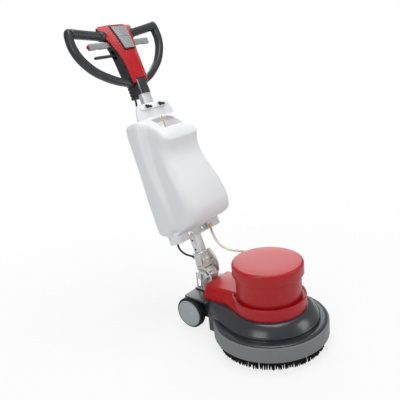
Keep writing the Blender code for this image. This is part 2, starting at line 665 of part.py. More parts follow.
def tank_rings(inset):
    """Sections of the tank, moved in by the wall for its inside."""
    low, high = TANK_SECTIONS[0][0], TANK_SECTIONS[-1][0]
    middle, share = (low + high) / 2, 1 - 2 * inset / (high - low)
    return [on_roof(tank_outline(*outline, inset), middle + (height - middle) * share, slope)
            for height, slope, *outline in TANK_SECTIONS]


def tank():
    """Blow-moulded tank, open at its mouth, with a flange on top that hangs on the stem."""
    top = TANK_SECTIONS[-1][0]
    shell = loft("tank_shell", tank_rings(0.0) + [on_roof(mouth_outline(0.004), top)], MILKY, HANDLE)
    inside = tank_rings(TANK_WALL) + [on_roof(mouth_outline(0.0), top - TANK_WALL),
                                      on_roof(mouth_outline(0.0), top + 0.010)]
    join(shell, box("tank_flange", (-0.098, -0.0265, 0.655), (0.098, -0.0145, 0.7325), parent=HANDLE))
    cut(shell, loft("tank_inside", inside, parent=HANDLE))
    for x in (-0.036, 0.036):
        cut(shell, rod("flange_hole", 0.0036, (x, -0.05, 0.719), (x, 0, 0.719), parent=HANDLE))
    cut(shell, rod("valve_hole", 0.0063, (0.045, -0.07, 0.1945), (0.045, -0.032, 0.1945), parent=HANDLE))


def tank_fittings():
    """Clamp plates, wing screws, drain valve and the rod that lifts it through the mouth."""
    top = box("upper_plate", (-0.071, -0.0300, 0.709), (0.071, -0.0268, 0.729), MILKY, HANDLE, 0.001)
    for x, name in ((-0.036, "left"), (0.036, "right")):
        cut(top, rod("screw_hole", 0.0036, (x, -0.05, 0.719), (x, 0.03, 0.719), parent=HANDLE))
        screw = rod(f"wing_screw_{name}", 0.0033, (x, -0.034, 0.719), (x, 0.024, 0.719), BLACK, HANDLE, 10)
        head = rod("wing_head", 0.0065, (x, -0.038, 0.719), (x, -0.0303, 0.719), parent=HANDLE)
        wings = box("wings", (x - 0.015, -0.042, 0.716), (x + 0.015, -0.038 + 0.003, 0.722), parent=HANDLE,
                    rounded=0.001)
        join(screw, head, wings)
    front = -0.0403
    low = box("lower_plate", (-0.070, front - 0.0025, 0.1845), (0.070, front, 0.2045), STEEL, HANDLE)
    cut(low, rod("plate_hole", 0.0093, (0.045, -0.07, 0.1945), (0.045, -0.03, 0.1945), parent=HANDLE))
    for x in (-0.052, 0.010):
        join(low, rod("plate_bolt", 0.006, (x, front - 0.007, 0.1945), (x, front - 0.001, 0.1945),
                      parent=HANDLE, segments=6))
    valve = rod("drain_valve", 0.006, (0.045, -0.060, 0.1945), (0.045, -0.0300, 0.1945), BRASS, HANDLE, 12)
    nut = rod("valve_nut", 0.009, (0.045, -0.062, 0.1945), (0.045, front - 0.001, 0.1945), parent=HANDLE,
              segments=6)
    spout = rod("valve_spout", 0.0042, (0.045, -0.055, 0.1945), (0.045, -0.055, 0.1715), parent=HANDLE,
                segments=10)
    join(valve, nut, spout)
    valve_axis = empty("valve_rod_axis", VALVE_ROD_FOOT, parent=HANDLE)
    reach = Vector(VALVE_ROD_TOP) - Vector(VALVE_ROD_FOOT)
    pull = rod("valve_rod", 0.0022, reach * 0.02, reach, BRASS, valve_axis, 8)
    join(pull, rod("rod_stopper", 0.0065, (0, 0, 0), reach * 0.037, parent=valve_axis, segments=12))


# ---------------------------------------------------------------- operator's head

# Up the stem, half width, middle of the front, edges of the front.
COVER_SECTIONS = (
    (0.824, 0.041, -0.0165, -0.0075), (0.860, 0.042, -0.0165, -0.006), (0.900, 0.0435, -0.0155, -0.003),
    (0.935, 0.0475, -0.0125, 0.002), (0.965, 0.054, -0.0075, 0.009), (0.995, 0.063, -0.001, 0.017),
    (1.020, 0.073, 0.006, 0.024), (1.045, 0.087, 0.0135, 0.0315), (1.062, 0.088, 0.019, 0.0345),
    (1.070, 0.080, 0.0235, 0.036))


def cover_arch(half, middle, edge):
    """Front line of the cover across the head: a flat crest and two falling sides."""
    crest = half * 0.46
    return [(-half, edge), (-crest, middle + 0.001), (0, middle), (crest, middle + 0.001), (half, edge)]


def grip_at(side, x):
    """Point on a grip's axis at a distance from the middle."""
    return side * x, BAR_S, BAR_H - (GRIP_END - x) * GRIP_FALL


def cover_section(height):
    """Half width, middle and edge of the cover's front at a height between its sections."""
    for low, high in zip(COVER_SECTIONS, COVER_SECTIONS[1:]):
        if height <= high[0]:
            share = (height - low[0]) / (high[0] - low[0])
            return [a + (b - a) * share for a, b in zip(low[1:], high[1:])]


def head_cover():
    rings = []
    for height, half, middle, edge in COVER_SECTIONS:
        front = cover_arch(half, middle, edge)
        back = [(x * 0.97, s + WALL + 0.0005) for x, s in reversed(front)]
        rings.append([(x, s, height) for x, s in front + back])
    cover = loft("head_cover", rings, RED, HANDLE)
    for side in (-1, 1):
        cut(cover, rod("grip_space", BAR_R + GAP, grip_at(side, GRIP_ROOT - 0.003), grip_at(side, 0.12),
                       parent=HANDLE, segments=24))
    cut(cover, box("sleeve_notch", (-0.028, -0.03, 0.80), (0.028, 0.02, 0.8395), parent=HANDLE))


def head_housing():
    """Dark case behind the cover, with pockets for the levers."""
    rings = []
    for height, half, middle, edge in COVER_SECTIONS:
        front = [(x * 0.965, s + WALL + 0.0024) for x, s in cover_arch(half, middle, edge)]
        side = half * 0.965
        back_half = min(side, 0.030 + (height - 0.82) * 0.17)
        back = [(side, edge + 0.012), (back_half, 0.055), (-back_half, 0.055), (-side, edge + 0.012)]
        rings.append([(x, s, max(height, 0.8365)) for x, s in front + back])
    case = loft("head_housing", rings, DARK, HANDLE, smooth=False)
    for side in (-1, 1):
        x0, x1 = sorted((side * 0.040, side * 0.12))
        cut(case, box("switch_pocket", (x0, 0.0275, 0.979), (x1, 0.0445, 1.0105), parent=HANDLE))
        cut(case, rod("grip_socket", BAR_R + GAP, grip_at(side, GRIP_ROOT - 0.001), grip_at(side, 0.12),
                      parent=HANDLE, segments=24))
        join(case, rod("switch_pin", 0.0026, (side * 0.056, 0.0265, 0.995), (side * 0.056, 0.0455, 0.995),
                       parent=HANDLE, segments=10))
    cut(case, box("tilt_pocket", (-0.12, 0.0275, 0.936), (-0.022, 0.0445, 0.972), parent=HANDLE))
    join(case, rod("tilt_pin", 0.0026, (-0.036, 0.0265, 0.951), (-0.036, 0.0455, 0.951), parent=HANDLE,
                   segments=10))


def control_panel():
    """Raised grey plate on the cover's crest, with skirts that follow its sides."""
    rings = []
    for height, half in ((0.958, 0.026), (0.965, 0.0266), (0.995, 0.0305), (1.020, 0.034),
                         (1.045, 0.0375), (1.062, 0.040)):
        width, middle, edge = cover_section(height)
        crest = width * 0.46
        fall = (edge - middle - 0.001) / (width - crest)
        rim, gap = half + 0.002, 0.0004
        skirt = middle + 0.001 + (rim - crest) * fall - 2 * gap
        front = middle - 0.0048
        side = [(half, front), (rim, skirt), (crest, middle + 0.001 - gap)]
        outline = side + [(0, middle - gap)] + [(-x, s) for x, s in reversed(side)]
        rings.append([(x, s, height) for x, s in outline])
    loft("control_panel", rings, PANEL_GREY, HANDLE, smooth=False)


def grips():
    """Straight grips that rise out of the head, and the loops from their ends down to the neck."""
    loop = [(0.2225, 0.0415, 1.066), (0.2270, 0.0415, 1.040), (0.2285, 0.0405, 1.005),
            (0.2190, 0.0395, 0.968), (0.1975, 0.0380, 0.932), (0.1690, 0.0350, 0.900),
            (0.1290, 0.0300, 0.871), (0.0880, 0.0230, 0.848), (0.0475, 0.0160, 0.828)]
    for side, name in ((-1, "left"), (1, "right")):
        rod(f"grip_{name}", BAR_R, grip_at(side, GRIP_ROOT), grip_at(side, GRIP_END), DARK, HANDLE, 24)
        tube(f"loop_{name}", [(side * x, s, h) for x, s, h in loop], 0.0145, DARK, HANDLE, 18, 3)


def lever(name, side, root, tip, low, high, pivot, look=PANEL_GREY):
    """Flat paddle on a moulded pin; its empty sits on the pin's axis."""
    axis = empty(f"{name}_axis", (side * pivot[0], 0.036, pivot[1]), parent=HANDLE)
    x0, x1 = sorted((side * (root - pivot[0]), side * (tip - pivot[0])))
    paddle = box(name, (x0, -0.0080, low - pivot[1]), (x1, 0.0080, high - pivot[1]), look, axis, 0.0025, 2)
    cut(paddle, rod("lever_bore", 0.0029, (0, -0.02, 0), (0, 0.02, 0), parent=axis, segments=10))
    return axis, paddle


def levers():
    """Two switch levers, the red lock-off button in the left one, and the tilt release lever."""
    left, paddle = lever("switch_lever_left", -1, 0.046, 0.160, 0.983, 1.007, (0.056, 0.995))
    lever("switch_lever_right", 1, 0.046, 0.156, 0.983, 1.007, (0.056, 0.995))
    lever("tilt_lever", -1, 0.026, 0.147, 0.946, 0.956, (0.036, 0.951), DARK)
    button_axis = empty("lock_button_axis", (-0.104, 0, 0), parent=left)
    rod("lock_button", 0.0068, (0.012, 0, 0), (-0.005, 0, 0), RED, button_axis, SMALL)
    cut(paddle, rod("button_socket", 0.0072, (-0.085, 0, 0), (-0.15, 0, 0), parent=left))


# ---------------------------------------------------------------- hose, lead and small pieces

def hose_and_lead():
    """Solution hose from the valve to the deck, and the motor lead from the neck to the stem's foot."""
    hose = [(0.0450, 0.2940, 0.3884), (0.0450, 0.2885, 0.3725), (0.0400, 0.2700, 0.3520),
            (0.0330, 0.2430, 0.3370), (0.0320, 0.2150, 0.3290), (0.0380, 0.1880, 0.3245),
            (0.0510, 0.1650, 0.3210), (0.0680, 0.1500, 0.3130), (0.0840, 0.1430, 0.2950),
            (0.0960, 0.1440, 0.2650), (0.1030, 0.1490, 0.2300), (0.1055, 0.1535, 0.2000),
            (0.1055, 0.1552, 0.1790)]
    tube("solution_hose", hose, 0.0055, CREAM, MACHINE, 24)
    lead = [(-0.0140, 0.0460, 0.7650), (-0.0143, 0.0475, 0.7500), (-0.0180, 0.0580, 0.6900),
            (-0.0240, 0.0570, 0.6000), (-0.0280, 0.0560, 0.4500), (-0.0290, 0.0570, 0.3000),
            (-0.0300, 0.0640, 0.2200), (-0.0310, 0.0780, 0.1700), (-0.0310, 0.0830, 0.1500),
            (-0.0300, 0.0800, 0.1280), (-0.0250, 0.0640, 0.1070), (-0.0188, 0.0459, 0.0954),
            (-0.0177, 0.0356, 0.0903)]
    tube("motor_lead", lead, 0.0042, BLACK, HANDLE, 34)


def small_pieces():
    """Hose spigot, lead gland, capacitors in the rear case and the mains inlet gland on the head."""
    turned("hose_spigot", [(0.0052, 0.1785), (0.0052, 0.1635), (0.0075, 0.1625), (0.0075, 0.1573),
                           (0.0030, 0.1573), (0.0030, 0.1785)], BLACK, steps=SMALL,
           location=(0.1055, 0.1552, 0))
    rod("lead_gland", 0.0075, (-0.0165, 0.0250, 0.0850), (-0.01765, 0.0352, 0.0901), BLACK, HANDLE, SMALL,
        0.0055)
    rod("start_capacitor", 0.0175, (-0.045, 0.195, 0.1775), (0.045, 0.195, 0.1775), PANEL_GREY, segments=20)
    rod("mains_gland", 0.010, (0, 0.0553, 0.900), (0, 0.0773, 0.900), BLACK, HANDLE, SMALL, 0.0075)


deck_housing()
bumper_ring()
rear_cover()
motor_covers()
gearbox()
motor()
rotor()
brush()
wheels()
yoke_base()
stem_fork()
stem()
neck()
tank()
tank_fittings()
head_cover()
head_housing()
control_panel()
grips()
levers()
hose_and_lead()
small_pieces()
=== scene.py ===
# %% [markdown]
# # A single-disc floor scrubber
#
# The machine stands on a round brush. A motor sits on the brush deck, a stem leans back from the
# deck to the operator, and a milky tank hangs on the stem. The moving solids come ready packed, so
# this lesson loads them as a fixed frame and dresses them: some keep their shape and get a finish,
# and others are hidden behind a finer piece that is built here.

# %% Load the frame
import random
from math import acos, atan2, cos, hypot, pi, radians, sin, sqrt

import bmesh
import bpy
from mathutils import Matrix, Vector, noise


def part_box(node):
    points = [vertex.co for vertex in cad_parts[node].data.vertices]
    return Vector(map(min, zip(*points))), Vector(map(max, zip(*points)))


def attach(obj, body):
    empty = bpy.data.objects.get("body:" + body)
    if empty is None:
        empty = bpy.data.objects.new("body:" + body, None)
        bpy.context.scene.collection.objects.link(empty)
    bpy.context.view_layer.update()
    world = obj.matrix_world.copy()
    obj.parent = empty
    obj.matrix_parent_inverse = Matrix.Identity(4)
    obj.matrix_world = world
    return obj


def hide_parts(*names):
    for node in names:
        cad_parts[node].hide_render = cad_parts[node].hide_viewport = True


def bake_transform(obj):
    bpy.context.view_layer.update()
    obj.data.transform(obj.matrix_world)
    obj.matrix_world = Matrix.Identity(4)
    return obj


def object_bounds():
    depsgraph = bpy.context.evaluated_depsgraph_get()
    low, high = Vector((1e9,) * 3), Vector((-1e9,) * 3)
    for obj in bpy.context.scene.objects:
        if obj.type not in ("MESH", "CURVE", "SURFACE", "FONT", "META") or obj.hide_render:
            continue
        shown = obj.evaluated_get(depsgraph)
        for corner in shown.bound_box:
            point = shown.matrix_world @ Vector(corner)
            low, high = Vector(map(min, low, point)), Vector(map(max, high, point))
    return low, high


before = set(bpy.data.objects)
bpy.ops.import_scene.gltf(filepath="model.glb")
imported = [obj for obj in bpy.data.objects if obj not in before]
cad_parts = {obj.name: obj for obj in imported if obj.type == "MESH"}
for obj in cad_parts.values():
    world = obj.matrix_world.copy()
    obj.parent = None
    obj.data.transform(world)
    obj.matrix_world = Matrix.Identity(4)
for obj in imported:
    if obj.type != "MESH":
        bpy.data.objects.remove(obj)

packed_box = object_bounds()
print("packed box, low and high corner:", [[round(c, 4) for c in corner] for corner in packed_box])

# %% [markdown]
# ## The camera and the light
#
# The machine is viewed with a long lens from a little above, so that upright lines stay nearly
# parallel. The camera is placed by the direction it looks in and by a small roll about that
# direction. Large soft lamps stand in for studio softboxes: broad light gives a broad highlight on
# gloss plastic, and keeps the shadow on the floor faint.

# %% Camera
AZIMUTH, ELEVATION, ROLL = radians(48.58), radians(17.93), radians(-5.54)
back = Vector((-sin(AZIMUTH) * cos(ELEVATION), -cos(AZIMUTH) * cos(ELEVATION), sin(ELEVATION)))
across = Vector((cos(AZIMUTH), -sin(AZIMUTH), 0))
upward = back.cross(across)
turned_across = across * cos(ROLL) + upward * sin(ROLL)
turned_up = upward * cos(ROLL) - across * sin(ROLL)
STANDPOINT = Vector((-1.5344, -1.2871, 1.1918))
LENS_MM, SENSOR_MM = 49.25, 36
camera = bpy.data.objects.new("camera", bpy.data.cameras.new("camera"))
camera.matrix_world = Matrix.LocRotScale(
    STANDPOINT,
    Matrix((turned_across, turned_up, back)).transposed(), None)
camera.data.lens = LENS_MM
camera.data.sensor_width = SENSOR_MM
bpy.context.scene.collection.objects.link(camera)
bpy.context.scene.camera = camera
print("camera looks along", [round(c, 3) for c in -back])

# %% [markdown]
# The world is white only for the rays that the camera sends out, so the background is clean while the
# light on the machine stays at a plain level and its gloss surfaces mirror the lamps, not the sky.

# %% World and lamps
scene = bpy.context.scene
scene.view_settings.view_transform = "Standard"
world = bpy.data.worlds.new("studio")
scene.world = world
world.use_nodes = True
sky = world.node_tree
sky_light = sky.nodes["Background"]
sky_light.inputs["Color"].default_value = (0.93, 0.96, 1.0, 1)
sky_light.inputs["Strength"].default_value = 0.40
sky_seen = sky.nodes.new("ShaderNodeBackground")
sky_seen.inputs["Color"].default_value = (1, 1, 1, 1)
sky_seen.inputs["Strength"].default_value = 1.0
ray = sky.nodes.new("ShaderNodeLightPath")
seen = sky.nodes.new("ShaderNodeMath")
seen.operation = "MAXIMUM"
sky.links.new(ray.outputs["Is Camera Ray"], seen.inputs[0])
sky.links.new(ray.outputs["Is Transmission Ray"], seen.inputs[1])
blend_sky = sky.nodes.new("ShaderNodeMixShader")
sky.links.new(seen.outputs[0], blend_sky.inputs[0])
sky.links.new(sky_light.outputs[0], blend_sky.inputs[1])
sky.links.new(sky_seen.outputs[0], blend_sky.inputs[2])
sky.links.new(blend_sky.outputs[0], sky.nodes["World Output"].inputs["Surface"])


def softbox(name, spot, aim, size, watts):
    """A square lamp at a spot, turned to face the point it lights."""
    lamp = bpy.data.objects.new(name, bpy.data.lights.new(name, "AREA"))
    lamp.data.shape = "SQUARE"
    lamp.data.size = size
    lamp.data.energy = watts
    lamp.location = spot
    lamp.rotation_euler = (Vector(aim) - Vector(spot)).to_track_quat("-Z", "Y").to_euler()
    lamp.visible_camera = False
    scene.collection.objects.link(lamp)


middle = (0, 0, 0.6)
softbox("overhead", (0.1, -0.3, 2.9), middle, 1.6, 38)
softbox("front_left", (-2.6, -0.5, 1.7), middle, 1.4, 22)
softbox("front_right", (1.2, -2.4, 1.5), middle, 1.0, 13)
softbox("behind", (2.3, 2.0, 1.35), middle, 2.4, 42)

# %% [markdown]
# ## Shader arithmetic
#
# A procedural finish is a small graph of nodes. Written node by node it hides its own meaning, so a
# socket is wrapped in a class that knows plain arithmetic: an expression such as 1 - mask adds the
# Math node itself. Every other kind of node comes from one method, which sets the node up before it
# feeds its sockets.

# %% Wire
class Wire:
    """One socket of a shader tree; arithmetic on it adds Math nodes to the same tree."""

    def __init__(self, tree, socket=None):
        self.tree = tree
        self.socket = socket

    def node(self, kind, settings, feeds, out=0):
        """Add a node, set it up, feed its sockets by name or number, and return one output."""
        made = self.tree.nodes.new("ShaderNode" + kind)
        for name, value in settings.items():
            if name == "stops":
                for element, (spot, tone) in zip(made.color_ramp.elements, (value[0], value[-1])):
                    element.position, element.color = spot, (tone, tone, tone, 1)
                for spot, tone in value[1:-1]:
                    made.color_ramp.elements.new(spot).color = (tone, tone, tone, 1)
            else:
                setattr(made, name, value)
        for name, value in feeds.items():
            if isinstance(value, Wire):
                self.tree.links.new(value.socket, made.inputs[name])
            else:
                made.inputs[name].default_value = value
        return Wire(self.tree, made.outputs[out])

    def math(self, operation, first, second=0.0):
        return self.node("Math", {"operation": operation}, {0: first, 1: second})

    def __add__(self, other):
        return self.math("ADD", self, other)

    def __sub__(self, other):
        return self.math("SUBTRACT", self, other)

    def __rsub__(self, other):
        return self.math("SUBTRACT", other, self)

    def __mul__(self, other):
        return self.math("MULTIPLY", self, other)

    __radd__ = __add__
    __rmul__ = __mul__

    def steps(self, *stops):
        """Shape a value with a ramp of (value, tone) stops."""
        return self.node("ValToRGB", {"stops": stops}, {0: self})

    def tint(self, low, high):
        """Turn a value into a colour between two."""
        return self.node("Mix", {"data_type": "RGBA"}, {0: self, 6: (*low, 1), 7: (*high, 1)}, 2)


# %% [markdown]
# A finish starts as a Principled shader with its plain values on its own sockets. Its patterns read
# the piece's own coordinates, in metres, so a grain of a millimetre is a millimetre on every piece.

# %% Finish
class Finish(Wire):
    """A material under construction."""

    def __init__(self, name, **plain):
        self.material = bpy.data.materials.new(name)
        self.material.use_nodes = True
        super().__init__(self.material.node_tree)
        self.shader = self.tree.nodes["Principled BSDF"]
        for socket, value in plain.items():
            self.shader.inputs[socket.replace("_", " ").title().replace("Ior", "IOR")].default_value = value
        self.spot = self.node("TexCoord", {}, {}, 3)
        self.z = self.node("SeparateXYZ", {}, {0: self.spot}, 2)

    def stretched(self, x, y, z):
        """The piece's coordinates, squeezed along an axis by its factor."""
        return self.node("VectorMath", {"operation": "MULTIPLY"}, {0: self.spot, 1: (x, y, z)})

    def noise(self, size, detail=3.0, spot=None):
        """Cloudy noise with features of a size in metres."""
        return self.node("TexNoise", {}, {"Vector": spot or self.spot, "Scale": 1 / size, "Detail": detail})

    def cells(self, size):
        """Soft pebble cells of a size in metres."""
        return self.node("TexVoronoi", {"feature": "SMOOTH_F1"}, {"Vector": self.spot, "Scale": 1 / size})

    def feed(self, socket, wire):
        self.tree.links.new(wire.socket, self.shader.inputs[socket])

    def relief(self, height, depth):
        """Bump the surface by a height pattern of 0 to 1, of a depth in metres."""
        bump = self.node("Bump", {}, {"Strength": 1.0, "Distance": depth, "Height": height})
        self.feed("Normal", bump)


print("a finish is built on:", bpy.types.ShaderNodeBsdfPrincipled.__name__)

# %% [markdown]
# The floor is a plain pale sheet that keeps the shadow. The camera sees it partly as plain white, and
# wholly so far away, so there is no line where it ends.

# %% Floor
FLOOR_HALF, FLOOR_GAP, NEAR_WHITE = 12.0, 0.0004, 0.80
floor_mesh = bpy.data.meshes.new("floor")
floor_mesh.from_pydata([(-FLOOR_HALF, -FLOOR_HALF, 0), (FLOOR_HALF, -FLOOR_HALF, 0),
                        (FLOOR_HALF, FLOOR_HALF, 0), (-FLOOR_HALF, FLOOR_HALF, 0)], [], [(0, 1, 2, 3)])
floor = bpy.data.objects.new("floor", floor_mesh)
floor.location.z = -FLOOR_GAP
scene.collection.objects.link(floor)
ground = Finish("studio floor", roughness=0.9, specular_ior_level=0.1)
ground.feed("Base Color", ground.noise(0.4).tint((0.80, 0.80, 0.80), (0.84, 0.84, 0.84)))
white = ground.node("Emission", {}, {"Strength": 1.0})
away = ground.node("VectorMath", {"operation": "LENGTH"}, {0: ground.spot}, 1)
FADE_START, FADE_WIDTH = 0.45, 1.3
fade = ground.node("Math", {"operation": "MULTIPLY", "use_clamp": True},
                   {0: away - FADE_START, 1: 1 / FADE_WIDTH})
camera_ray = ground.node("LightPath", {}, {})
share = camera_ray * (NEAR_WHITE + fade * (1 - NEAR_WHITE))
mixed = ground.node("MixShader", {}, {0: share, 1: Wire(ground.tree, ground.shader.outputs[0]), 2: white})
ground.tree.links.new(mixed.socket, ground.tree.nodes["Material Output"].inputs["Surface"])
floor_mesh.materials.append(ground.material)

# %% [markdown]
# ## Places taken from the frame
#
# Everything low on the machine is turned about the brush axis, and everything on the stem leans with
# it. The brush axis runs through the middle of the bumper, and the tilt pivot through the middle of
# its pin. A piece that is drawn along the stem uses x across, y towards the operator and z up the
# stem, and one matrix leans it back.

# %% Brush axis and tilt pivot
bumper_low, bumper_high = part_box("bumper_ring")
pin_low, pin_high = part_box("pivot_pin")
BRUSH_Y = (bumper_low[1] + bumper_high[1]) / 2
PIVOT = Vector((0, (pin_low[1] + pin_high[1]) / 2, (pin_low[2] + pin_high[2]) / 2))
LEAN = radians(18.8)
ON_DECK = Matrix.Translation((0, BRUSH_Y, 0))
ON_STEM = Matrix.Translation(PIVOT) @ Matrix.Rotation(-LEAN, 4, "X")
print("brush axis at y =", round(BRUSH_Y, 4), "and tilt pivot at", [round(c, 4) for c in PIVOT])

# %% [markdown]
# ## A small modelling kit
#
# Moulded and turned pieces are rows of rings with a skin over them.

# %% Curves and outlines
def smooth(points, per=6):
    """A smooth curve through points of any number of coordinates, with some points per stretch."""
    rows = [Vector(p) for p in points]
    ends = [2 * rows[0] - rows[1]] + rows + [2 * rows[-1] - rows[-2]]
    curve = []
    for a, b, c, d in zip(ends, ends[1:], ends[2:], ends[3:]):
        for i in range(per):
            t = i / per
            curve.append(0.5 * (2 * b + (c - a) * t + (2 * a - 5 * b + 4 * c - d) * t ** 2
                                + (3 * b - 3 * c + d - a) * t ** 3))
    return curve + [rows[-1]]


def evenly(points, count):
    """Points spread evenly along a polyline."""
    run = [0.0]
    for p, q in zip(points, points[1:]):
        run.append(run[-1] + (q - p).length)
    spread, k = [], 0
    for i in range(count):
        target = run[-1] * i / (count - 1)
        while k < len(points) - 2 and run[k + 1] < target:
            k += 1
        share = (target - run[k]) / max(run[k + 1] - run[k], 1e-9)
        spread.append(points[k].lerp(points[k + 1], min(share, 1.0)))
    return spread


def arc(x, y, radius, start, end, count):
    """Points on an arc; the angles are in degrees."""
    angles = [radians(start + (end - start) * i / (count - 1)) for i in range(count)]
    return [(x + radius * cos(a), y + radius * sin(a)) for a in angles]


def round_box(half_x, y0, y1, radius, count=6):
    """A rectangle with round corners, anticlockwise."""
    points = arc(half_x - radius, y0 + radius, radius, -90, 0, count)
    points += arc(half_x - radius, y1 - radius, radius, 0, 90, count)
    points += arc(-half_x + radius, y1 - radius, radius, 90, 180, count)
    return points + arc(-half_x + radius, y0 + radius, radius, 180, 270, count)


def mirrored(half):
    """Close a half outline with its mirror image across the middle."""
    return half + [(-p[0], *p[1:]) for p in reversed(half) if abs(p[0]) > 1e-6]


# %% [markdown]
# Blender's modifiers could do most of what follows, one object at a time. A class with one open mesh
# keeps each piece down to a few lines, and each method returns the shape, so the calls can be chained.

# %% Shape
class Shape:
    """A mesh under construction, made of closed skins."""

    def __init__(self):
        self.bm = bmesh.new()

    def skin(self, rings, wrap=False, place=None):
        """Skin a row of rings with the same number of points each."""
        rows = [[self.bm.verts.new(p) for p in ring] for ring in rings]
        for a, b in zip(rows, rows[1:] + (rows[:1] if wrap else [])):
            for i in range(len(a)):
                j = (i + 1) % len(a)
                self.bm.faces.new((a[i], a[j], b[j], b[i]))
        if not wrap:
            self.bm.faces.new(rows[0][::-1])
            self.bm.faces.new(rows[-1])
        if place:
            bmesh.ops.transform(self.bm, matrix=place, verts=[v for row in rows for v in row])
        return self

    def turn(self, profile, steps=96, wrap=False, place=None):
        """Spin a profile of (radius, height) points about Z."""
        angles = [2 * pi * i / steps for i in range(steps)]
        rings = [[(max(r, 1e-4) * cos(a), max(r, 1e-4) * sin(a), z) for a in angles] for r, z in profile]
        return self.skin(rings, wrap=wrap, place=place)

    def block(self, low, high):
        """A box between two corners."""
        size = [b - a for a, b in zip(low, high)]
        centre = [(a + b) / 2 for a, b in zip(low, high)]
        made = bmesh.ops.create_cube(self.bm, size=1.0)["verts"]
        matrix = Matrix.Translation(centre) @ Matrix.Diagonal((*size, 1))
        bmesh.ops.transform(self.bm, matrix=matrix, verts=made)
        return self

    def rod(self, start, end, radius, end_radius=None, sides=24):
        """A round bar from one point to another."""
        start, end = Vector(start), Vector(end)
        turned = (end - start).to_track_quat("Z", "Y").to_matrix().to_4x4()
        matrix = Matrix.Translation((start + end) / 2) @ turned
        bmesh.ops.create_cone(self.bm, cap_ends=True, segments=sides, radius1=radius, matrix=matrix,
                              radius2=radius if end_radius is None else end_radius,
                              depth=(end - start).length)
        return self

    def sweep(self, path, section):
        """Carry a section of (side, other) points along a path."""
        rings, side = [], Vector((1, 0, 0))
        for i, spot in enumerate(path):
            ahead = (path[min(i + 1, len(path) - 1)] - path[max(i - 1, 0)]).normalized()
            side = (side - ahead * side.dot(ahead)).normalized()
            other = ahead.cross(side)
            rings.append([spot + side * u + other * v for u, v in section])
        return self.skin(rings)

    def plate(self, outline, low, high, place=None):
        """An outline of (x, y) points between two heights."""
        return self.skin([[(x, y, z) for x, y in outline] for z in (low, high)], place=place)

    def soften(self, width, segments=2, angle=40):
        """Round every edge that turns by more than an angle."""
        bmesh.ops.recalc_face_normals(self.bm, faces=self.bm.faces)
        sharp = [e for e in self.bm.edges
                 if len(e.link_faces) == 2 and e.calc_face_angle(0) > radians(angle)]
        bmesh.ops.bevel(self.bm, geom=sharp, offset=width, segments=segments, profile=0.5,
                        affect="EDGES", clamp_overlap=True)
        return self

    def mesh(self, name):
        bmesh.ops.recalc_face_normals(self.bm, faces=self.bm.faces)
        made = bpy.data.meshes.new(name)
        self.bm.to_mesh(made)
        return made

    def combine(self, other, operation="DIFFERENCE"):
        """Cut another shape away, or join it on."""
        held = [bpy.data.objects.new("held", shape.mesh("held")) for shape in (self, other)]
        for obj in held:
            scene.collection.objects.link(obj)
        cut = held[0].modifiers.new("cut", "BOOLEAN")
        cut.operation, cut.solver, cut.object = operation, "EXACT", held[1]
        bpy.context.view_layer.update()
        self.bm.clear()
        self.bm.from_mesh(held[0].evaluated_get(bpy.context.evaluated_depsgraph_get()).to_mesh())
        for obj in held:
            bpy.data.objects.remove(obj, do_unlink=True)
        return self

    def piece(self, name, finish, body, *stands_for, place=None, sharp=35):
        """Finish the mesh, put it in its place and let it ride on a body."""
        made = self.mesh(name)
        made.shade_smooth()
        made.set_sharp_from_angle(angle=radians(sharp))
        made.materials.append(finish.material)
        obj = bpy.data.objects.new(name, made)
        scene.collection.objects.link(obj)
        if place:
            obj.matrix_world = place
        if body:
            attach(obj, body)
        if stands_for:
            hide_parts(*stands_for)
        print(name, "on", body, "with", len(made.polygons), "faces")
        return obj


# %% [markdown]
# ## The hose and the motor lead
#
# The cords come first, because their routes are fixed by the moving frame. A free cord has a real
# length and hangs from its fittings, so it could be simulated, but both of these run between two
# fixed points, and a smooth curve through a few chosen points gives the same easy hang every time.
# The hose drops from the tank's valve to a spigot on the deck, so it bends as the stem tilts, but here it
# is drawn in one fixed shape. The lead is clipped to the stem all the way.

# %% Soft vinyl finishes
def vinyl(name, low, high, gloss, depth, **plain):
    """Extruded vinyl: faint bands along the length and a skin that is a little uneven."""
    finish = Finish(name, **plain)
    cloud = finish.noise(0.03)
    finish.feed("Base Color", cloud.tint(low, high))
    finish.feed("Roughness", cloud * 0.12 + gloss)
    finish.relief(finish.noise(0.0025), depth)
    return finish


cream_vinyl = vinyl("cream hose vinyl", (0.74, 0.72, 0.64), (0.84, 0.82, 0.75), 0.28, 0.00004,
                    subsurface_weight=0.35, subsurface_scale=0.004)
black_vinyl = vinyl("black lead vinyl", (0.012, 0.012, 0.013), (0.026, 0.026, 0.028), 0.42, 0.00008)

# %% [markdown]
# Each cord is a round section carried along its route. The hose rides on no body and keeps the shape
# it is drawn in; the lead rides on the handle.

# %% Hose and lead
HOSE_R, LEAD_R = 0.0055, 0.0042
HOSE_ROUTE = [(0.0450, 0.2940, 0.3884), (0.0450, 0.2885, 0.3725), (0.0400, 0.2700, 0.3520),
              (0.0330, 0.2430, 0.3370), (0.0320, 0.2150, 0.3290), (0.0380, 0.1880, 0.3245),
              (0.0510, 0.1650, 0.3210), (0.0680, 0.1500, 0.3130), (0.0840, 0.1430, 0.2950),
              (0.0960, 0.1440, 0.2650), (0.1030, 0.1490, 0.2300), (0.1055, 0.1535, 0.2000),
              (0.1055, 0.1552, 0.1790)]
LEAD_ROUTE = [(-0.0140, 0.0460, 0.7650), (-0.0143, 0.0475, 0.7500), (-0.0180, 0.0580, 0.6900),
              (-0.0240, 0.0570, 0.6000), (-0.0280, 0.0560, 0.4500), (-0.0290, 0.0570, 0.3000),
              (-0.0300, 0.0640, 0.2200), (-0.0310, 0.0780, 0.1700), (-0.0310, 0.0830, 0.1500),
              (-0.0300, 0.0800, 0.1280), (-0.0250, 0.0640, 0.1070), (-0.0188, 0.0459, 0.0954),
              (-0.0177, 0.0356, 0.0903)]


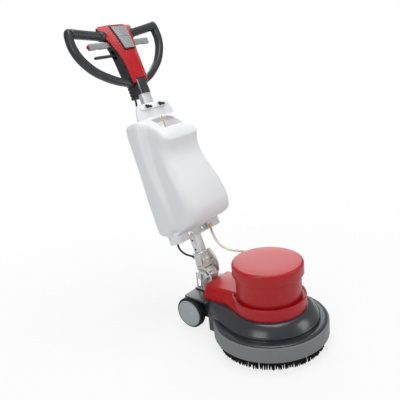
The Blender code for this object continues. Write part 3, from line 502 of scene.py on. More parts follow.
def run_of(path):
    return sum((q - p).length for p, q in zip(path, path[1:]))


def cord_tube(route, radius, place, count, sides=16):
    """A round tube along a smooth route in the world; its ends are domed."""
    path = [place @ p for p in evenly(smooth(route, 16), count)]
    shape = Shape()
    shape.sweep(path, arc(0, 0, radius, 0, 360 - 360 / sides, sides))
    return shape.soften(radius * 0.12, 2), path


hose_shape, hose_path = cord_tube(HOSE_ROUTE, HOSE_R, ON_DECK, 72)
hose = hose_shape.piece("hose", cream_vinyl, None)
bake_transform(hose)
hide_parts("solution_hose")
run_of(hose_path)
lead_shape, lead_path = cord_tube(LEAD_ROUTE, LEAD_R, ON_STEM, 90)
lead = lead_shape.piece("lead", black_vinyl, "handle", "motor_lead")
run_of(lead_path)
print("hose and lead, metres:", round(run_of(hose_path), 3), round(run_of(lead_path), 3))

# %% [markdown]
# ## Moulded plastics
#
# Every cover is injection moulded. Real mouldings are never one flat colour: the pigment drifts a
# little, the gloss changes with handling, and the skin has a fine orange peel or a spark-eroded
# grain. One function makes all of these from two close colours, a gloss and a grain size.

# %% Moulded plastic
def moulded(name, low, high, gloss, grain, depth, **plain):
    """Moulded plastic between two close colours, with a grain of a size and depth in metres."""
    finish = Finish(name, **plain)
    drift = finish.noise(0.09)
    scuffs = finish.noise(0.012, 6.0).steps((0.50, 0.0), (0.66, 0.5), (0.80, 1.0))
    finish.feed("Base Color", (drift * 0.8 + scuffs * 0.2).tint(low, high))
    finish.feed("Roughness", drift * 0.08 + scuffs * 0.07 + gloss)
    finish.relief(finish.noise(grain, 2.0) * 0.7 + finish.noise(grain * 7, 2.0) * 0.3, depth)
    return finish


gloss_red = moulded("gloss red", (0.40, 0.006, 0.010), (0.46, 0.008, 0.012), 0.32, 0.003, 0.000004,
                    coat_weight=0.12, coat_roughness=0.12, specular_ior_level=0.32)
deck_grey = moulded("deck charcoal", (0.022, 0.024, 0.028), (0.036, 0.039, 0.044), 0.24, 0.0012, 0.00002,
                    coat_weight=0.25, coat_roughness=0.18)
handle_grey = moulded("handle charcoal", (0.020, 0.021, 0.023), (0.034, 0.035, 0.038),
                      0.28, 0.0008, 0.00003)
panel_grey = moulded("panel grey", (0.230, 0.238, 0.236), (0.290, 0.298, 0.296), 0.40, 0.0008, 0.00004)
skirt_grey = moulded("panel skirt", (0.016, 0.017, 0.019), (0.026, 0.027, 0.030), 0.42, 0.0008, 0.00004)
soft_black = moulded("soft black", (0.012, 0.012, 0.013), (0.024, 0.024, 0.026), 0.48, 0.0009, 0.00006)
bumper_grey = moulded("bumper grey", (0.165, 0.170, 0.174), (0.205, 0.210, 0.214), 0.46, 0.0010, 0.00006)
white_plate = moulded("white plate", (0.86, 0.87, 0.88), (0.93, 0.93, 0.93), 0.30, 0.0010, 0.00002)
case_grey = moulded("capacitor case", (0.10, 0.105, 0.11), (0.16, 0.165, 0.17), 0.45, 0.0010, 0.00004)

# %% [markdown]
# The tyres and the bristles are matt. Rubber scatters light and picks up pale dust in its low spots,
# and nylon filament has a faint sheen along its length.

# %% Rubber and bristle
def dusty(name, low, high, dust, gloss, grain, depth):
    """Black rubber or nylon with dust that collects in patches."""
    finish = Finish(name, specular_ior_level=0.18)
    patch = finish.noise(0.02, 5.0).steps((0.45, 0.0), (0.62, 0.35), (0.78, 1.0))
    base = finish.noise(0.006).tint(low, high)
    mixed = finish.node("Mix", {"data_type": "RGBA"}, {0: patch * 0.22, 6: base, 7: (*dust, 1)}, 2)
    finish.feed("Base Color", mixed)
    finish.feed("Roughness", patch * 0.15 + gloss)
    finish.relief(finish.cells(grain), depth)
    return finish


tyre_rubber = dusty("tyre rubber", (0.012, 0.012, 0.014), (0.026, 0.027, 0.030), (0.10, 0.10, 0.095),
                    0.52, 0.0012, 0.00008)
bristle_nylon = dusty("bristle nylon", (0.005, 0.005, 0.006), (0.016, 0.016, 0.017), (0.05, 0.05, 0.048),
                      0.50, 0.0008, 0.00004)

# %% [markdown]
# ## Metals
#
# Machined and extruded metal shows lines from the tool or the die, so its noise is stretched along
# them. Cast metal shows a pebbled skin that a tumbler has polished on the high spots.

# %% Lined and cast metal
LINE_SIZE, LINE_DEPTH = 0.0006, 0.00002


def lined(name, low, high, gloss, lines):
    """Machined, drawn or extruded metal; lines is how far the noise is squeezed along each axis."""
    finish = Finish(name, metallic=1.0)
    fine = finish.noise(LINE_SIZE, 3.0, finish.stretched(*lines))
    cloud = finish.noise(0.03)
    finish.feed("Base Color", (fine * 0.5 + cloud * 0.5).tint(low, high))
    finish.feed("Roughness", fine * 0.14 + cloud * 0.08 + gloss)
    finish.relief(fine, LINE_DEPTH)
    return finish


def cast(name, low, high, gloss):
    """Cast metal with pits, which are darker and rougher than the skin around them."""
    finish = Finish(name, metallic=1.0)
    pits = finish.noise(0.0016, 4.0).steps((0.30, 0.0), (0.48, 1.0), (0.9, 1.0))
    cloud = finish.noise(0.016, 4.0)
    finish.feed("Base Color", (pits * 0.45 + cloud * 0.55).tint(low, high))
    finish.feed("Roughness", cloud * 0.22 + (1 - pits) * 0.10 + gloss)
    finish.relief(pits * 0.6 + cloud * 0.4, 0.00002)
    return finish


cast_aluminium = cast("cast aluminium", (0.46, 0.46, 0.45), (0.84, 0.84, 0.83), 0.26)
plain_casting = cast("plain casting", (0.36, 0.36, 0.36), (0.62, 0.62, 0.61), 0.34)
satin_aluminium = lined("satin aluminium", (0.66, 0.665, 0.67), (0.82, 0.82, 0.825), 0.36, (1, 1, 0.03))
turned_steel = lined("turned steel", (0.45, 0.45, 0.45), (0.66, 0.66, 0.65), 0.24, (0.3, 0.3, 1))
plate_steel = lined("plated steel", (0.62, 0.62, 0.60), (0.80, 0.80, 0.78), 0.22, (0.05, 1, 1))
gear_iron = lined("gear iron", (0.15, 0.15, 0.155), (0.27, 0.27, 0.275), 0.36, (1, 1, 0.1))
brass = lined("brass", (0.55, 0.36, 0.12), (0.76, 0.54, 0.22), 0.24, (1, 1, 0.08))


# %% [markdown]
# The motor's windings are varnished copper above and below a pack of thin iron sheets. One finish
# tells them apart by height: fine stripes between the ends of the pack, coppery strands outside them.

# %% Laminated iron with windings
def laminated(name, low_end, high_end):
    """Stacked iron sheets between two heights, and varnished copper strands beyond them."""
    finish = Finish(name, metallic=0.85)
    sheets = finish.node("TexWave", {"bands_direction": "Z"}, {"Vector": finish.spot, "Scale": 420.0,
                                                               "Distortion": 0.4}, 1)
    inside = finish.math("GREATER_THAN", finish.z, low_end) * finish.math("LESS_THAN", finish.z, high_end)
    strands = finish.noise(0.0012, 4.0, finish.stretched(1, 1, 0.2))
    iron = (sheets * 0.6 + finish.noise(0.01) * 0.4).tint((0.10, 0.10, 0.11), (0.32, 0.32, 0.33))
    copper = strands.tint((0.30, 0.07, 0.025), (0.72, 0.26, 0.11))
    finish.feed("Base Color", finish.node("Mix", {"data_type": "RGBA"}, {0: inside, 6: copper, 7: iron}, 2))
    finish.feed("Roughness", strands * 0.2 + inside * 0.12 + 0.25)
    finish.relief(inside * sheets + (1 - inside) * strands, 0.0002)
    return finish


stator_low, stator_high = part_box("stator")
HEAD_HEIGHT = 0.016
stator_iron = laminated("stator pack", stator_low.z + HEAD_HEIGHT, stator_high.z - HEAD_HEIGHT)
rotor_low, rotor_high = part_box("rotor_core")
rotor_iron = laminated("rotor pack", rotor_low.z + 0.004, rotor_high.z - 0.004)

# %% [markdown]
# The pieces inside the covers are gears, bearings, castings and shafts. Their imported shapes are
# already what they should be, so they only get a finish.

# %% Finishes for the nodes that keep their shape
KEPT = {"gearbox_cup": plain_casting, "ring_gear": gear_iron, "motor_frame": plain_casting,
        "stator": stator_iron, "upper_bracket": plain_casting, "lower_bearing": turned_steel,
        "upper_bearing": turned_steel, "rotor_core": rotor_iron, "motor_shaft": turned_steel,
        "cooling_fan": soft_black, "planet_gear_1": gear_iron, "planet_gear_2": gear_iron,
        "planet_gear_3": gear_iron, "planet_carrier": turned_steel, "clutch_plate": turned_steel,
        "brush_block": soft_black, "axle": turned_steel, "pivot_pin": turned_steel,
        "lock_rod": turned_steel, "start_capacitor": case_grey, "lead_gland": soft_black,
        "mains_gland": soft_black, "hose_spigot": soft_black}
for node_name, finish in KEPT.items():
    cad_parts[node_name].material_slots[0].material = finish.material
print("nodes that keep their shape:", len(KEPT))

# %% [markdown]
# ## The motor's covers
#
# The cap and the shroud are plain turned shapes, but their edges carry the highlights. The profile of
# each is drawn with true round edges and spun in small steps, so that the rim reads as one soft line.

# %% Cap and shroud
cap_low, cap_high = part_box("motor_cap")
shroud_low, shroud_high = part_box("motor_shroud")
CAP_R = (cap_high.x - cap_low.x) / 2
SHROUD_R = (shroud_high.x - shroud_low.x) / 2
WALL = 0.003
EDGE_R = 0.009
cap_edge = arc(CAP_R - EDGE_R, cap_high.z - EDGE_R, EDGE_R, 88, 2, 12)
cap_profile = ([(0, cap_high.z), (CAP_R * 0.5, cap_high.z - 0.0001)] + cap_edge
               + arc(CAP_R - 0.0012, cap_low.z + 0.0012, 0.0012, 0, -90, 4)
               + [(SHROUD_R - 0.004, cap_low.z + 0.0003), (SHROUD_R - 0.004, cap_low.z + 0.003),
                  (CAP_R - WALL, cap_low.z + 0.003), (CAP_R - WALL, cap_high.z - 0.008),
                  (CAP_R - 0.008, cap_high.z - WALL), (0, cap_high.z - WALL)])
Shape().turn(cap_profile, 128, place=ON_DECK).piece("cap", gloss_red, "deck", "motor_cap")
shroud_profile = [(SHROUD_R, shroud_high.z), (SHROUD_R, shroud_low.z + 0.001),
                  (SHROUD_R - 0.001, shroud_low.z), (SHROUD_R - WALL, shroud_low.z),
                  (SHROUD_R - WALL, shroud_high.z)]
shroud = Shape().turn(shroud_profile, 128, wrap=True, place=ON_DECK)
shroud.piece("shroud", gloss_red, "deck", "motor_shroud")

# %% [markdown]
# The collar round the motor's foot and the box behind it are one moulding. The collar has a raised
# lip with a gutter inside it. The box narrows upwards and carries a row of upright ribs on each side,
# which stiffen a thin wall. Two fairings lead the box into the collar.

# %% Collar and rear case
collar_low, collar_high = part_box("rear_cover")
COLLAR_R = (collar_high.x - collar_low.x) / 2
COLLAR_TOP = 0.203
SEAT = collar_low.z
CASE_ROWS = ((SEAT, 0.0955, 0.2525, 0.012),
             (0.1800, 0.0868, 0.2533, 0.012),
             (0.1980, 0.0765, 0.2543, 0.012),
             (0.2015, 0.0738, 0.2533, 0.012),
             (0.2045, 0.0705, 0.2510, 0.011),
             (0.2058, 0.0670, 0.2478, 0.010))
collar_profile = (arc(COLLAR_R - 0.004, COLLAR_TOP - 0.004, 0.004, 0, 90, 7)
                  + arc(0.1352, COLLAR_TOP - 0.0018, 0.0018, 90, 180, 4)
                  + [(0.1330, 0.1962), (SHROUD_R + 0.0006, 0.1950), (SHROUD_R + 0.0006, 0.1920),
                     (COLLAR_R - WALL, 0.1920), (COLLAR_R - WALL, SEAT), (COLLAR_R, SEAT)])
cover = Shape()
cover.skin([[(x, y, z) for x, y in round_box(half, 0.060, back, r)] for z, half, back, r in CASE_ROWS])


def case_side(z):
    """Half width of the rear case at a height."""
    for (z0, half0, *_), (z1, half1, *_) in zip(CASE_ROWS, CASE_ROWS[1:]):
        if z <= z1:
            return half0 + (half1 - half0) * (z - z0) / (z1 - z0)
    return CASE_ROWS[-1][1]


for side in (-1, 1):
    rows = []
    for z, in_by in ((SEAT, 0.0), (0.1660, 0.0), (0.1730, 0.0035), (0.1770, 0.0110)):
        touch = radians(-16)
        near = (case_side(z) - 0.001, 0.136 - in_by * 1.5)
        far = (COLLAR_R * cos(touch) - in_by - 0.0006, -COLLAR_R * sin(touch) + 0.004)
        rows.append([(side * x, y, z) for x, y in ((0.050, near[1] + 0.002), (0.050, far[1]), far, near)])
    cover.combine(Shape().skin(rows), "UNION")
cover.soften(0.0014, 2, 50)
cover.combine(Shape().turn([(SHROUD_R + 0.0006, 0.25), (SHROUD_R + 0.0006, 0.15)], 128))
cover.turn(collar_profile, 128, wrap=True)
RIBS, RIB_PITCH, RIB_HALF, RIB_PROUD = 10, 0.0096, 0.0026, 0.0028
for i in range(RIBS):
    y = 0.150 + i * RIB_PITCH
    for side in (-1, 1):
        rings = []
        for z in (SEAT + 0.002, 0.1980, 0.2012):
            x = case_side(z) + RIB_PROUD * (0.1 if z > 0.2 else 1)
            rings.append([(side * (x - 0.004), y - RIB_HALF, z), (side * x, y - RIB_HALF * 0.6, z),
                          (side * x, y + RIB_HALF * 0.6, z), (side * (x - 0.004), y + RIB_HALF, z)])
        cover.skin(rings)
bmesh.ops.transform(cover.bm, matrix=ON_DECK, verts=cover.bm.verts)
cover.piece("collar_and_case", gloss_red, "deck", "rear_cover")

# %% [markdown]
# ## The deck and the bumper
#
# The deck is one shell with a flat crown, a hollow flare down to a lip, and straight sides that leave
# the round front on a tangent and run back to square corners. A turned shape alone would lose those
# sides, so each level is an outline of its own: a circle in front, its two tangents, and the corners.

# %% Deck bell
REAR_HALF, REAR_Y, CORNER_R = 0.115, 0.217, 0.010
LIP_R, CROWN_R, DECK_TOP = 0.185, 0.146, 0.157


def deck_outline(r):
    """Circle of a radius in front, tangents to the rear corners; anticlockwise."""
    half = REAR_HALF - (LIP_R - r) * 0.45
    reach = hypot(half, REAR_Y - CORNER_R)
    touch = atan2(REAR_Y - CORNER_R, half) - acos(min(r / reach, 1.0))
    right = [(r * cos(a), r * sin(a)) for a in
             (-pi / 2 + (touch + pi / 2) * i / 40 for i in range(41))]
    last = right[-1]
    corner = arc(half - CORNER_R, REAR_Y - CORNER_R, CORNER_R, 25, 90, 5)
    right += [(last[0] + (corner[0][0] - last[0]) * t, last[1] + (corner[0][1] - last[1]) * t)
              for t in (0.2, 0.4, 0.6, 0.8)]
    return mirrored([(0, -r)] + right[1:] + corner + [(half * 0.5, REAR_Y), (0, REAR_Y)])


def deck_circle(r):
    """A circle whose points lie in the same directions as the lip's."""
    return [(r * x / hypot(x, y), r * y / hypot(x, y)) for x, y in deck_outline(LIP_R)]


deck = Shape()
levels = [(0.1385, DECK_TOP), (CROWN_R - 0.004, DECK_TOP)]
levels += [(CROWN_R + 0.037 * t, DECK_TOP - 0.0005 - 0.0355 * t ** 1.6) for t in [i / 10 for i in range(11)]]
levels += [(0.1858, 0.1205), (0.1872, 0.1190), (0.1874, 0.1172), (0.1860, 0.1160), (0.1835, 0.1155),
           (0.1830, 0.1100), (0.1845, 0.1062), (0.1845, 0.1040)]
rings = [[(x, y, z) for x, y in deck_outline(r)] for r, z in levels]
for r, z in ((0.178, 0.104), (0.172, 0.112), (0.118, 0.1525), (0.100, 0.1525), (0.100, DECK_TOP)):
    rings.append([(x, y, z) for x, y in deck_circle(r)])
deck.skin(rings, wrap=True)

# %% [markdown]
# Behind the bell, the deck has square corners and an arm that carries the axle under a flat fender.
# Boxes joined and hollowed by booleans give these, as a mould's cores would.

# %% Deck corners, arm, fenders and flange
body = Shape().block((-REAR_HALF, 0.10, 0.031), (REAR_HALF, REAR_Y, 0.118)).soften(0.006, 3)
arm = Shape().block((-0.082, 0.18, 0.062), (0.082, 0.334, 0.1553)).soften(0.006, 3)
body.combine(arm, "UNION")
FENDER = [(-0.1175, 0.214), (0.1175, 0.214), (0.1175, 0.3335), (-0.1175, 0.3335)]


def rounded(points, cut, count=5):
    """Round the corners of an outline, starting a cut's length before each of them."""
    outline = []
    for before, here, after in zip(points[-1:] + points, points, points[1:] + points[:1]):
        p = Vector(here)
        start = p + (Vector(before) - p).normalized() * cut
        end = p + (Vector(after) - p).normalized() * cut
        for i in range(count):
            t = i / (count - 1)
            outline.append(tuple((1 - t) ** 2 * start + 2 * t * (1 - t) * p + t * t * end))
    return outline


fender = Shape().plate(rounded(FENDER, 0.012), 0.1495, 0.1565).soften(0.0022, 3)
body.combine(fender, "UNION")
body.combine(Shape().turn([(0.2206, 0.1003), (0.2206, 0.0)], 128))
body.combine(Shape().turn([(0.178, 0.149), (0.178, 0.02)], 96))
body.combine(Shape().block((-0.111, 0.150, 0.02), (0.111, 0.213, 0.1130)))
body.combine(Shape().block((-0.078, 0.185, 0.02), (0.078, 0.330, 0.1463)))
axle_low, axle_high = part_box("axle")
AXLE_Y = (axle_low.y + axle_high.y) / 2 - BRUSH_Y
AXLE_Z = (axle_low.z + axle_high.z) / 2
body.combine(Shape().rod((-0.1, AXLE_Y, AXLE_Z), (0.1, AXLE_Y, AXLE_Z), 0.0063))
bmesh.ops.transform(body.bm, matrix=ON_DECK, verts=body.bm.verts)
body.turn([(0.1800, 0.1075), (0.1880, 0.1075), (0.1885, 0.1068), (0.2020, 0.1066), (0.2024, 0.1058),
           (0.2110, 0.1056), (0.2132, 0.1040), (0.2135, 0.1003), (0.1800, 0.1003)], 128, wrap=True,
          place=ON_DECK)
body.piece("deck_frame", deck_grey, "deck", sharp=40)
bmesh.ops.transform(deck.bm, matrix=ON_DECK, verts=deck.bm.verts)
deck.piece("deck_bell", deck_grey, "deck", "deck_housing")

# %% [markdown]
# The bumper is a soft ring that protects walls. It is turned, like the motor's covers.

# %% Bumper
BUMPER_R = (bumper_high.x - bumper_low.x) / 2
THICK = 0.0065
bumper_profile = (arc(BUMPER_R - 0.0028, bumper_high.z - 0.0028, 0.0028, 90, 12, 6)
                  + [(BUMPER_R, 0.086), (BUMPER_R, 0.056)]
                  + arc(BUMPER_R - 0.0028, bumper_low.z + 0.0028, 0.0028, -12, -90, 6)
                  + [(BUMPER_R - THICK, bumper_low.z), (BUMPER_R - THICK, bumper_high.z)])
bumper = Shape().turn(bumper_profile, 160, wrap=True, place=ON_DECK)
bumper.piece("bumper", bumper_grey, "deck", "bumper_ring")

# %% [markdown]
# ## The brush
#
# A scrubbing brush is a block drilled with rings of holes, and each hole holds a tuft of nylon
# filament folded in half. Hair curves could stand for it, but these tufts are thick and few enough to
# be real meshes. Each filament is a thin tapered prism that leans out from its tuft, cut to a ragged
# length, so the brush's edge is uneven in the way a used brush is.

# %% Bristles
dice = random.Random(11)
ROOT_Z = 0.0485
TUFT_ROWS = [0.086 + 0.0131 * i for i in range(9)]
bristles = Shape()


def filament(shape, root, tip, radius):
    """A thin prism from root to tip, pinched to a blunt point."""
    ahead = (tip - root).normalized()
    side = ahead.cross(Vector((0.3, 0.2, 0.1))).normalized()
    other = ahead.cross(side)
    turns = [(cos(pi * k / 2), sin(pi * k / 2)) for k in range(4)]
    rings = [[spot + (side * u + other * v) * width for u, v in turns]
             for spot, width in ((root, radius), (root.lerp(tip, 0.8), radius * 0.85), (tip, radius * 0.2))]
    shape.skin(rings)


for row, row_r in enumerate(TUFT_ROWS):
    outer = row == len(TUFT_ROWS) - 1
    pitch = 0.0080 if outer else 0.0100
    count = int(2 * pi * row_r / pitch)
    strands = 13 if outer else 5
    for k in range(count):
        turn_angle = 2 * pi * (k + 0.5 * (row % 2) + dice.uniform(-0.12, 0.12)) / count
        out = Vector((cos(turn_angle), sin(turn_angle), 0))
        along = Vector((-sin(turn_angle), cos(turn_angle), 0))
        splay = (0.0085 if outer else 0.004) + dice.gauss(0, 0.0012)
        swing = dice.gauss(0, 0.0012)
        short = abs(dice.gauss(0, 0.0020))
        for j in range(strands):
            root = out * (row_r + dice.uniform(-0.0022, 0.0022)) + along * dice.uniform(-0.0020, 0.0020)
            root.z = ROOT_Z
            lean = out * min(splay + dice.gauss(0, 0.0016), BUMPER_R - 0.0055 - row_r - 0.0015)
            tip = root + lean + along * (swing + dice.gauss(0, 0.0009))
            tip.z = short + abs(dice.gauss(0, 0.0022)) + 0.0004
            filament(bristles, root, tip, 0.0019 if outer else 0.0024)
bmesh.ops.transform(bristles.bm, matrix=ON_DECK, verts=bristles.bm.verts)
bristles.piece("bristles", bristle_nylon, "brush", "bristle_ring", sharp=60)

# %% [markdown]
# ## The wheels
#
# Each wheel is a rubber tyre on a moulded hub with a flat cap. The tyre's shoulders are round and two
# shallow grooves run round the tread. The cap is a light grey disc with a low moulded pattern.

# %% Wheels
hub_grey = Finish("hub grey")
hub_cloud = hub_grey.noise(0.011, 4.0)
hub_marks = hub_grey.noise(0.006, 5.0).steps((0.40, 0.0), (0.50, 0.6), (0.62, 1.0))
hub_grey.feed("Base Color", (hub_cloud * 0.6 + hub_marks * 0.4).tint((0.24, 0.26, 0.27), (0.46, 0.49, 0.50)))
hub_grey.feed("Roughness", hub_marks * 0.15 + 0.34)
hub_grey.relief(hub_cloud * 0.5 + hub_marks * 0.5, 0.00018)
for side, name in ((-1, "left"), (1, "right")):
    tyre_low, tyre_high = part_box(f"tyre_{name}")
    hub_low, hub_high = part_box(f"hub_{name}")
    face = max(abs(hub_low.x), abs(hub_high.x))
    inner = min(abs(hub_low.x), abs(hub_high.x))
    tyre_r = (tyre_high.z - tyre_low.z) / 2
    on_axle = Matrix.Translation((0, AXLE_Y + BRUSH_Y, AXLE_Z)) @ Matrix.Rotation(side * pi / 2, 4, "Y")
    tread = [(0.0556, face - 0.0016)] + arc(tyre_r - 0.008, face - 0.009, 0.008, 82, 0, 8)
    for middle in (face - 0.0135, inner + 0.0135):
        tread += [(tyre_r, middle + 0.0012), (tyre_r - 0.0012, middle + 0.0006),
                  (tyre_r - 0.0012, middle - 0.0006), (tyre_r, middle - 0.0012)]
    tread += arc(tyre_r - 0.008, inner + 0.009, 0.008, 0, -82, 8) + [(0.0556, inner + 0.0016)]
    Shape().turn(tread, 72, wrap=True, place=on_axle).piece(
        f"tyre_skin_{name}", tyre_rubber, f"wheel_{name}", f"tyre_{name}")
    hub = Shape()
    cap = [(0, face), (0.0440, face), (0.0465, face - 0.0004), (0.0480, face - 0.0014),
           (0.0495, face - 0.0014), (0.0505, face - 0.0006), (0.0525, face - 0.0004),
           (0.0545, face - 0.0012), (0.0553, face - 0.003), (0.0553, inner + 0.003)]
    back = [(0.048, inner + 0.003), (0.044, inner + 0.016), (0.016, inner + 0.016), (0.016, inner),
            (0.0063, inner), (0.0063, face - 0.006), (0, face - 0.006)]
    hub.turn(cap + back, 96, place=on_axle)
    hub.piece(f"hub_cap_{name}", hub_grey, f"wheel_{name}", f"hub_{name}")

# %% [markdown]
# ## The tank
#
# The solution tank is blow moulded in milky polyethylene, so it has no sharp edge anywhere and light
# soaks a little way into it. Daylight comes through the thin wall, so the cavity is never dark.
# Scattering strong enough to show this also greys the outside, so the inner faces carry a painted glow
# instead, a small emission for the light through the wall, and the outer faces carry a fainter one.

# %% Milky polyethylene
milk = Finish("milky polyethylene", subsurface_weight=0.35, subsurface_scale=0.012,
              subsurface_radius=(1.0, 1.0, 1.0), ior=1.45, emission_strength=0.20)
milk_cloud = milk.noise(0.07, 2.0)
# Painted shade: the tank's colour darkens towards its foot and lightens up the stem, as light from above
# falls on it; the cloud is the plastic's own uneven tone.
milk_painted_shade = milk.math("MULTIPLY", milk.z - 0.17, 0.8)
milk_tone_and_shade = milk_cloud * 0.6 + milk_painted_shade
milk.feed("Base Color", milk_tone_and_shade.tint((0.67, 0.672, 0.68), (0.74, 0.742, 0.75)))
# Painted glow: emission colour 1.0 on faces that look into the cavity and 0.1 on all others, so the tank and
# its hanger glow faintly outside and more inside.
milk_inside = milk.node("Attribute", {"attribute_name": "inside"}, {}, 2)
milk.feed("Emission Color", (milk_inside * 0.9 + 0.1).tint((0.0, 0.0, 0.0), (1.0, 1.0, 1.0)))
milk.feed("Roughness", milk.noise(0.02) * 0.14 + 0.30)
milk.relief(milk.noise(0.045, 1.0) * 0.8 + milk.noise(0.0025) * 0.06, 0.0010)

# %% [markdown]
# The tank's front is a bulge that swells and narrows up the stem, on a wider flat back. It could be
# sculpted, but a few sections with a smooth curve through them are easier to correct. It is
# one closed skin: up the outside, over the roof, round the lip of the mouth and down the inside.

# %% Tank sections
# Up the stem, slope share, front half width, front, corner radius, rear half width, rear.
TANK_ROWS = ((0.177, 0.0, 0.129, -0.036, 0.012, 0.131, 0.010),
             (0.1805, 0.0, 0.132, -0.040, 0.014, 0.134, 0.014),
             (0.197, 0.0, 0.132, -0.040, 0.014, 0.134, 0.014),
             (0.211, 0.0, 0.131, -0.041, 0.014, 0.134, 0.015),
             (0.2175, 0.0, 0.119, -0.066, 0.026, 0.133, 0.026),
             (0.2215, 0.0, 0.114, -0.092, 0.040, 0.133, 0.038),
             (0.2275, 0.0, 0.118, -0.118, 0.045, 0.137, 0.045),
             (0.243, 0.0, 0.124, -0.141, 0.045, 0.140, 0.047),
             (0.290, 0.0, 0.126, -0.153, 0.045, 0.140, 0.047),
             (0.365, 0.0, 0.122, -0.143, 0.045, 0.139, 0.045),
             (0.430, 0.0, 0.116, -0.124, 0.042, 0.137, 0.043),
             (0.500, 0.2, 0.110, -0.109, 0.038, 0.134, 0.041),
             (0.560, 0.5, 0.105, -0.111, 0.036, 0.133, 0.040),
             (0.615, 0.8, 0.102, -0.122, 0.034, 0.132, 0.039),
             (0.650, 1.0, 0.0995, -0.1290, 0.031, 0.130, 0.037),
             (0.6615, 1.0, 0.096, -0.1270, 0.029, 0.127, 0.034),
             (0.6690, 1.0, 0.0905, -0.1225, 0.026, 0.121, 0.0285),
             (0.6720, 1.0, 0.0830, -0.1165, 0.024, 0.112, 0.021))
GROOVE_HALF, GROOVE_S = 0.031, -0.018
MOUTH_HALF, MOUTH_BACK, MOUTH_FRONT = 0.058, -0.037, -0.099
ROOF_SLOPE, ROOF_BEND, BEND_WIDTH = 0.89, -0.0325, 0.010
TANK_WALL = 0.0035


def tank_section(front_w, front, corner, rear_w, rear, inset):
    """Half widths, front and rear to an outline: crowned front, filleted sides, grooved back."""
    front_w, front, rear_w, rear = front_w - inset, front + inset, rear_w - inset, rear - inset
    crown = 0.0025 * min(1.0, (front_w - corner) / 0.08)
    half = []
    for i in range(7):
        t = i / 7
        half.append(((front_w - corner) * t, front - crown * (1 - t * t)))
    half += arc(front_w - corner, front + corner, corner, -90, 0, 9)
    start, end = front + corner, front + (rear - front) * 0.62
    for i in range(1, 12):
        t = i / 11
        rise = max(0.0, (t - 0.60) / 0.40)
        blend = rise * rise * (3 - 2 * rise)
        half.append((front_w + 0.003 * t + (rear_w - front_w - 0.003) * blend, start + (end - start) * t))
    half += [(rear_w, end + (rear - 0.010 - end) * t) for t in (0.35, 0.7)]
    half += arc(rear_w - 0.010, rear - 0.010, 0.010, 0, 90, 6)
    groove, floor_s = GROOVE_HALF + inset, GROOVE_S - inset
    half += [(groove + 0.004 + (rear_w - groove - 0.014) * t, rear) for t in (0.66, 0.33)]
    half += arc(groove + 0.004, rear - 0.004, 0.004, 90, 180, 4)
    half += arc(groove - 0.004, floor_s + 0.004, 0.004, 0, -90, 4)
    return mirrored(half + [(0, floor_s)])


def mouth_section(grow):
    """The fill mouth, with as many points as a tank section."""
    half_x, back_s, front, r = MOUTH_HALF + grow, MOUTH_BACK + grow, MOUTH_FRONT - grow, 0.014 + grow / 2
    half = [((half_x - r) * i / 7, front) for i in range(7)]
    half += arc(half_x - r, front + r, r, -90, 0, 9)
    start, end = front + r, back_s - r
    half += [(half_x, start + (end - start) * i / 14) for i in range(1, 14)]
    half += arc(half_x - r, back_s - r, r, 0, 90, 6)
    half += [((half_x - r) * (1 - i / 11), back_s) for i in range(1, 11)]
    return mirrored(half + [(0, back_s)])


def lifted(points, height, slope):
    """Lift an outline to a height that falls away to the front like the roof."""
    rows = []
    for x, s in points:
        u = ROOF_BEND - s
        fall = (sqrt(u * u + BEND_WIDTH ** 2) + u - BEND_WIDTH * 0.6) / 2
        rows.append((x, s, height - slope * ROOF_SLOPE * max(0.0, fall)))
    return rows


tank_rows = smooth(TANK_ROWS, 4)
TOP, BOTTOM = TANK_ROWS[-1][0], TANK_ROWS[0][0]
skin_rings = [lifted(tank_section(*row[2:], 0.0), row[0], row[1]) for row in tank_rows]
print("tank: rings of", len(skin_rings[0]), "points,", len(tank_rows), "outside")

# %% [markdown]
# The rings are now joined in order. A flange at the top, the hanger, takes the wing screws. The last
# lines mark the faces that look into the cavity, for the painted glow.

# %% Tank shell
edge_ring = tank_section(*TANK_ROWS[-1][2:], 0.0)
lip_ring = mouth_section(0.010)
for t, rise in ((0.25, 0.0012), (0.5, 0.0016), (0.75, 0.0014), (1.0, 0.0014)):
    between = [(a[0] + (b[0] - a[0]) * t, a[1] + (b[1] - a[1]) * t) for a, b in zip(edge_ring, lip_ring)]
    skin_rings.append(lifted(between, TOP + rise, 1.0))
for grow, rise in ((0.0075, 0.0026), (0.0050, 0.0040), (0.0025, 0.0042), (0.0006, 0.0030), (-0.0008, 0.0004),
                   (-0.0005, -0.0035), (0.0015, -0.0050)):
    skin_rings.append(lifted(mouth_section(grow), TOP + rise, 1.0))
share = 1 - 2 * TANK_WALL / (TOP - BOTTOM)
for row in reversed(tank_rows):
    height = (TOP + BOTTOM) / 2 + (row[0] - (TOP + BOTTOM) / 2) * share
    skin_rings.append(lifted(tank_section(*row[2:], TANK_WALL), height - 0.001 * row[1], row[1]))
tank = Shape().skin(skin_rings)
UPRIGHT = Matrix.Rotation(pi / 2, 4, "X")
HANGER = [(-0.106, 0.650),
          (0.106, 0.650),
          (0.101, 0.690),
          (0.082, 0.7325),
          (-0.082, 0.7325),
          (-0.101, 0.690)]
hanger = Shape().plate(rounded(HANGER, 0.012, 6), 0.0145, 0.0265, place=UPRIGHT).soften(0.0045, 4)
for x in (-0.036, 0.036):
    hanger.combine(Shape().rod((x, -0.05, 0.719), (x, 0, 0.719), 0.0036))
hanger.piece("tank_hanger", milk, "handle", place=ON_STEM, sharp=50)
tank.combine(Shape().rod((0.045, -0.07, 0.1945), (0.045, -0.032, 0.1945), 0.0063))
tank_skin = tank.piece("tank", milk, "handle", "tank_shell", place=ON_STEM, sharp=60).data
CORE_S = -0.028
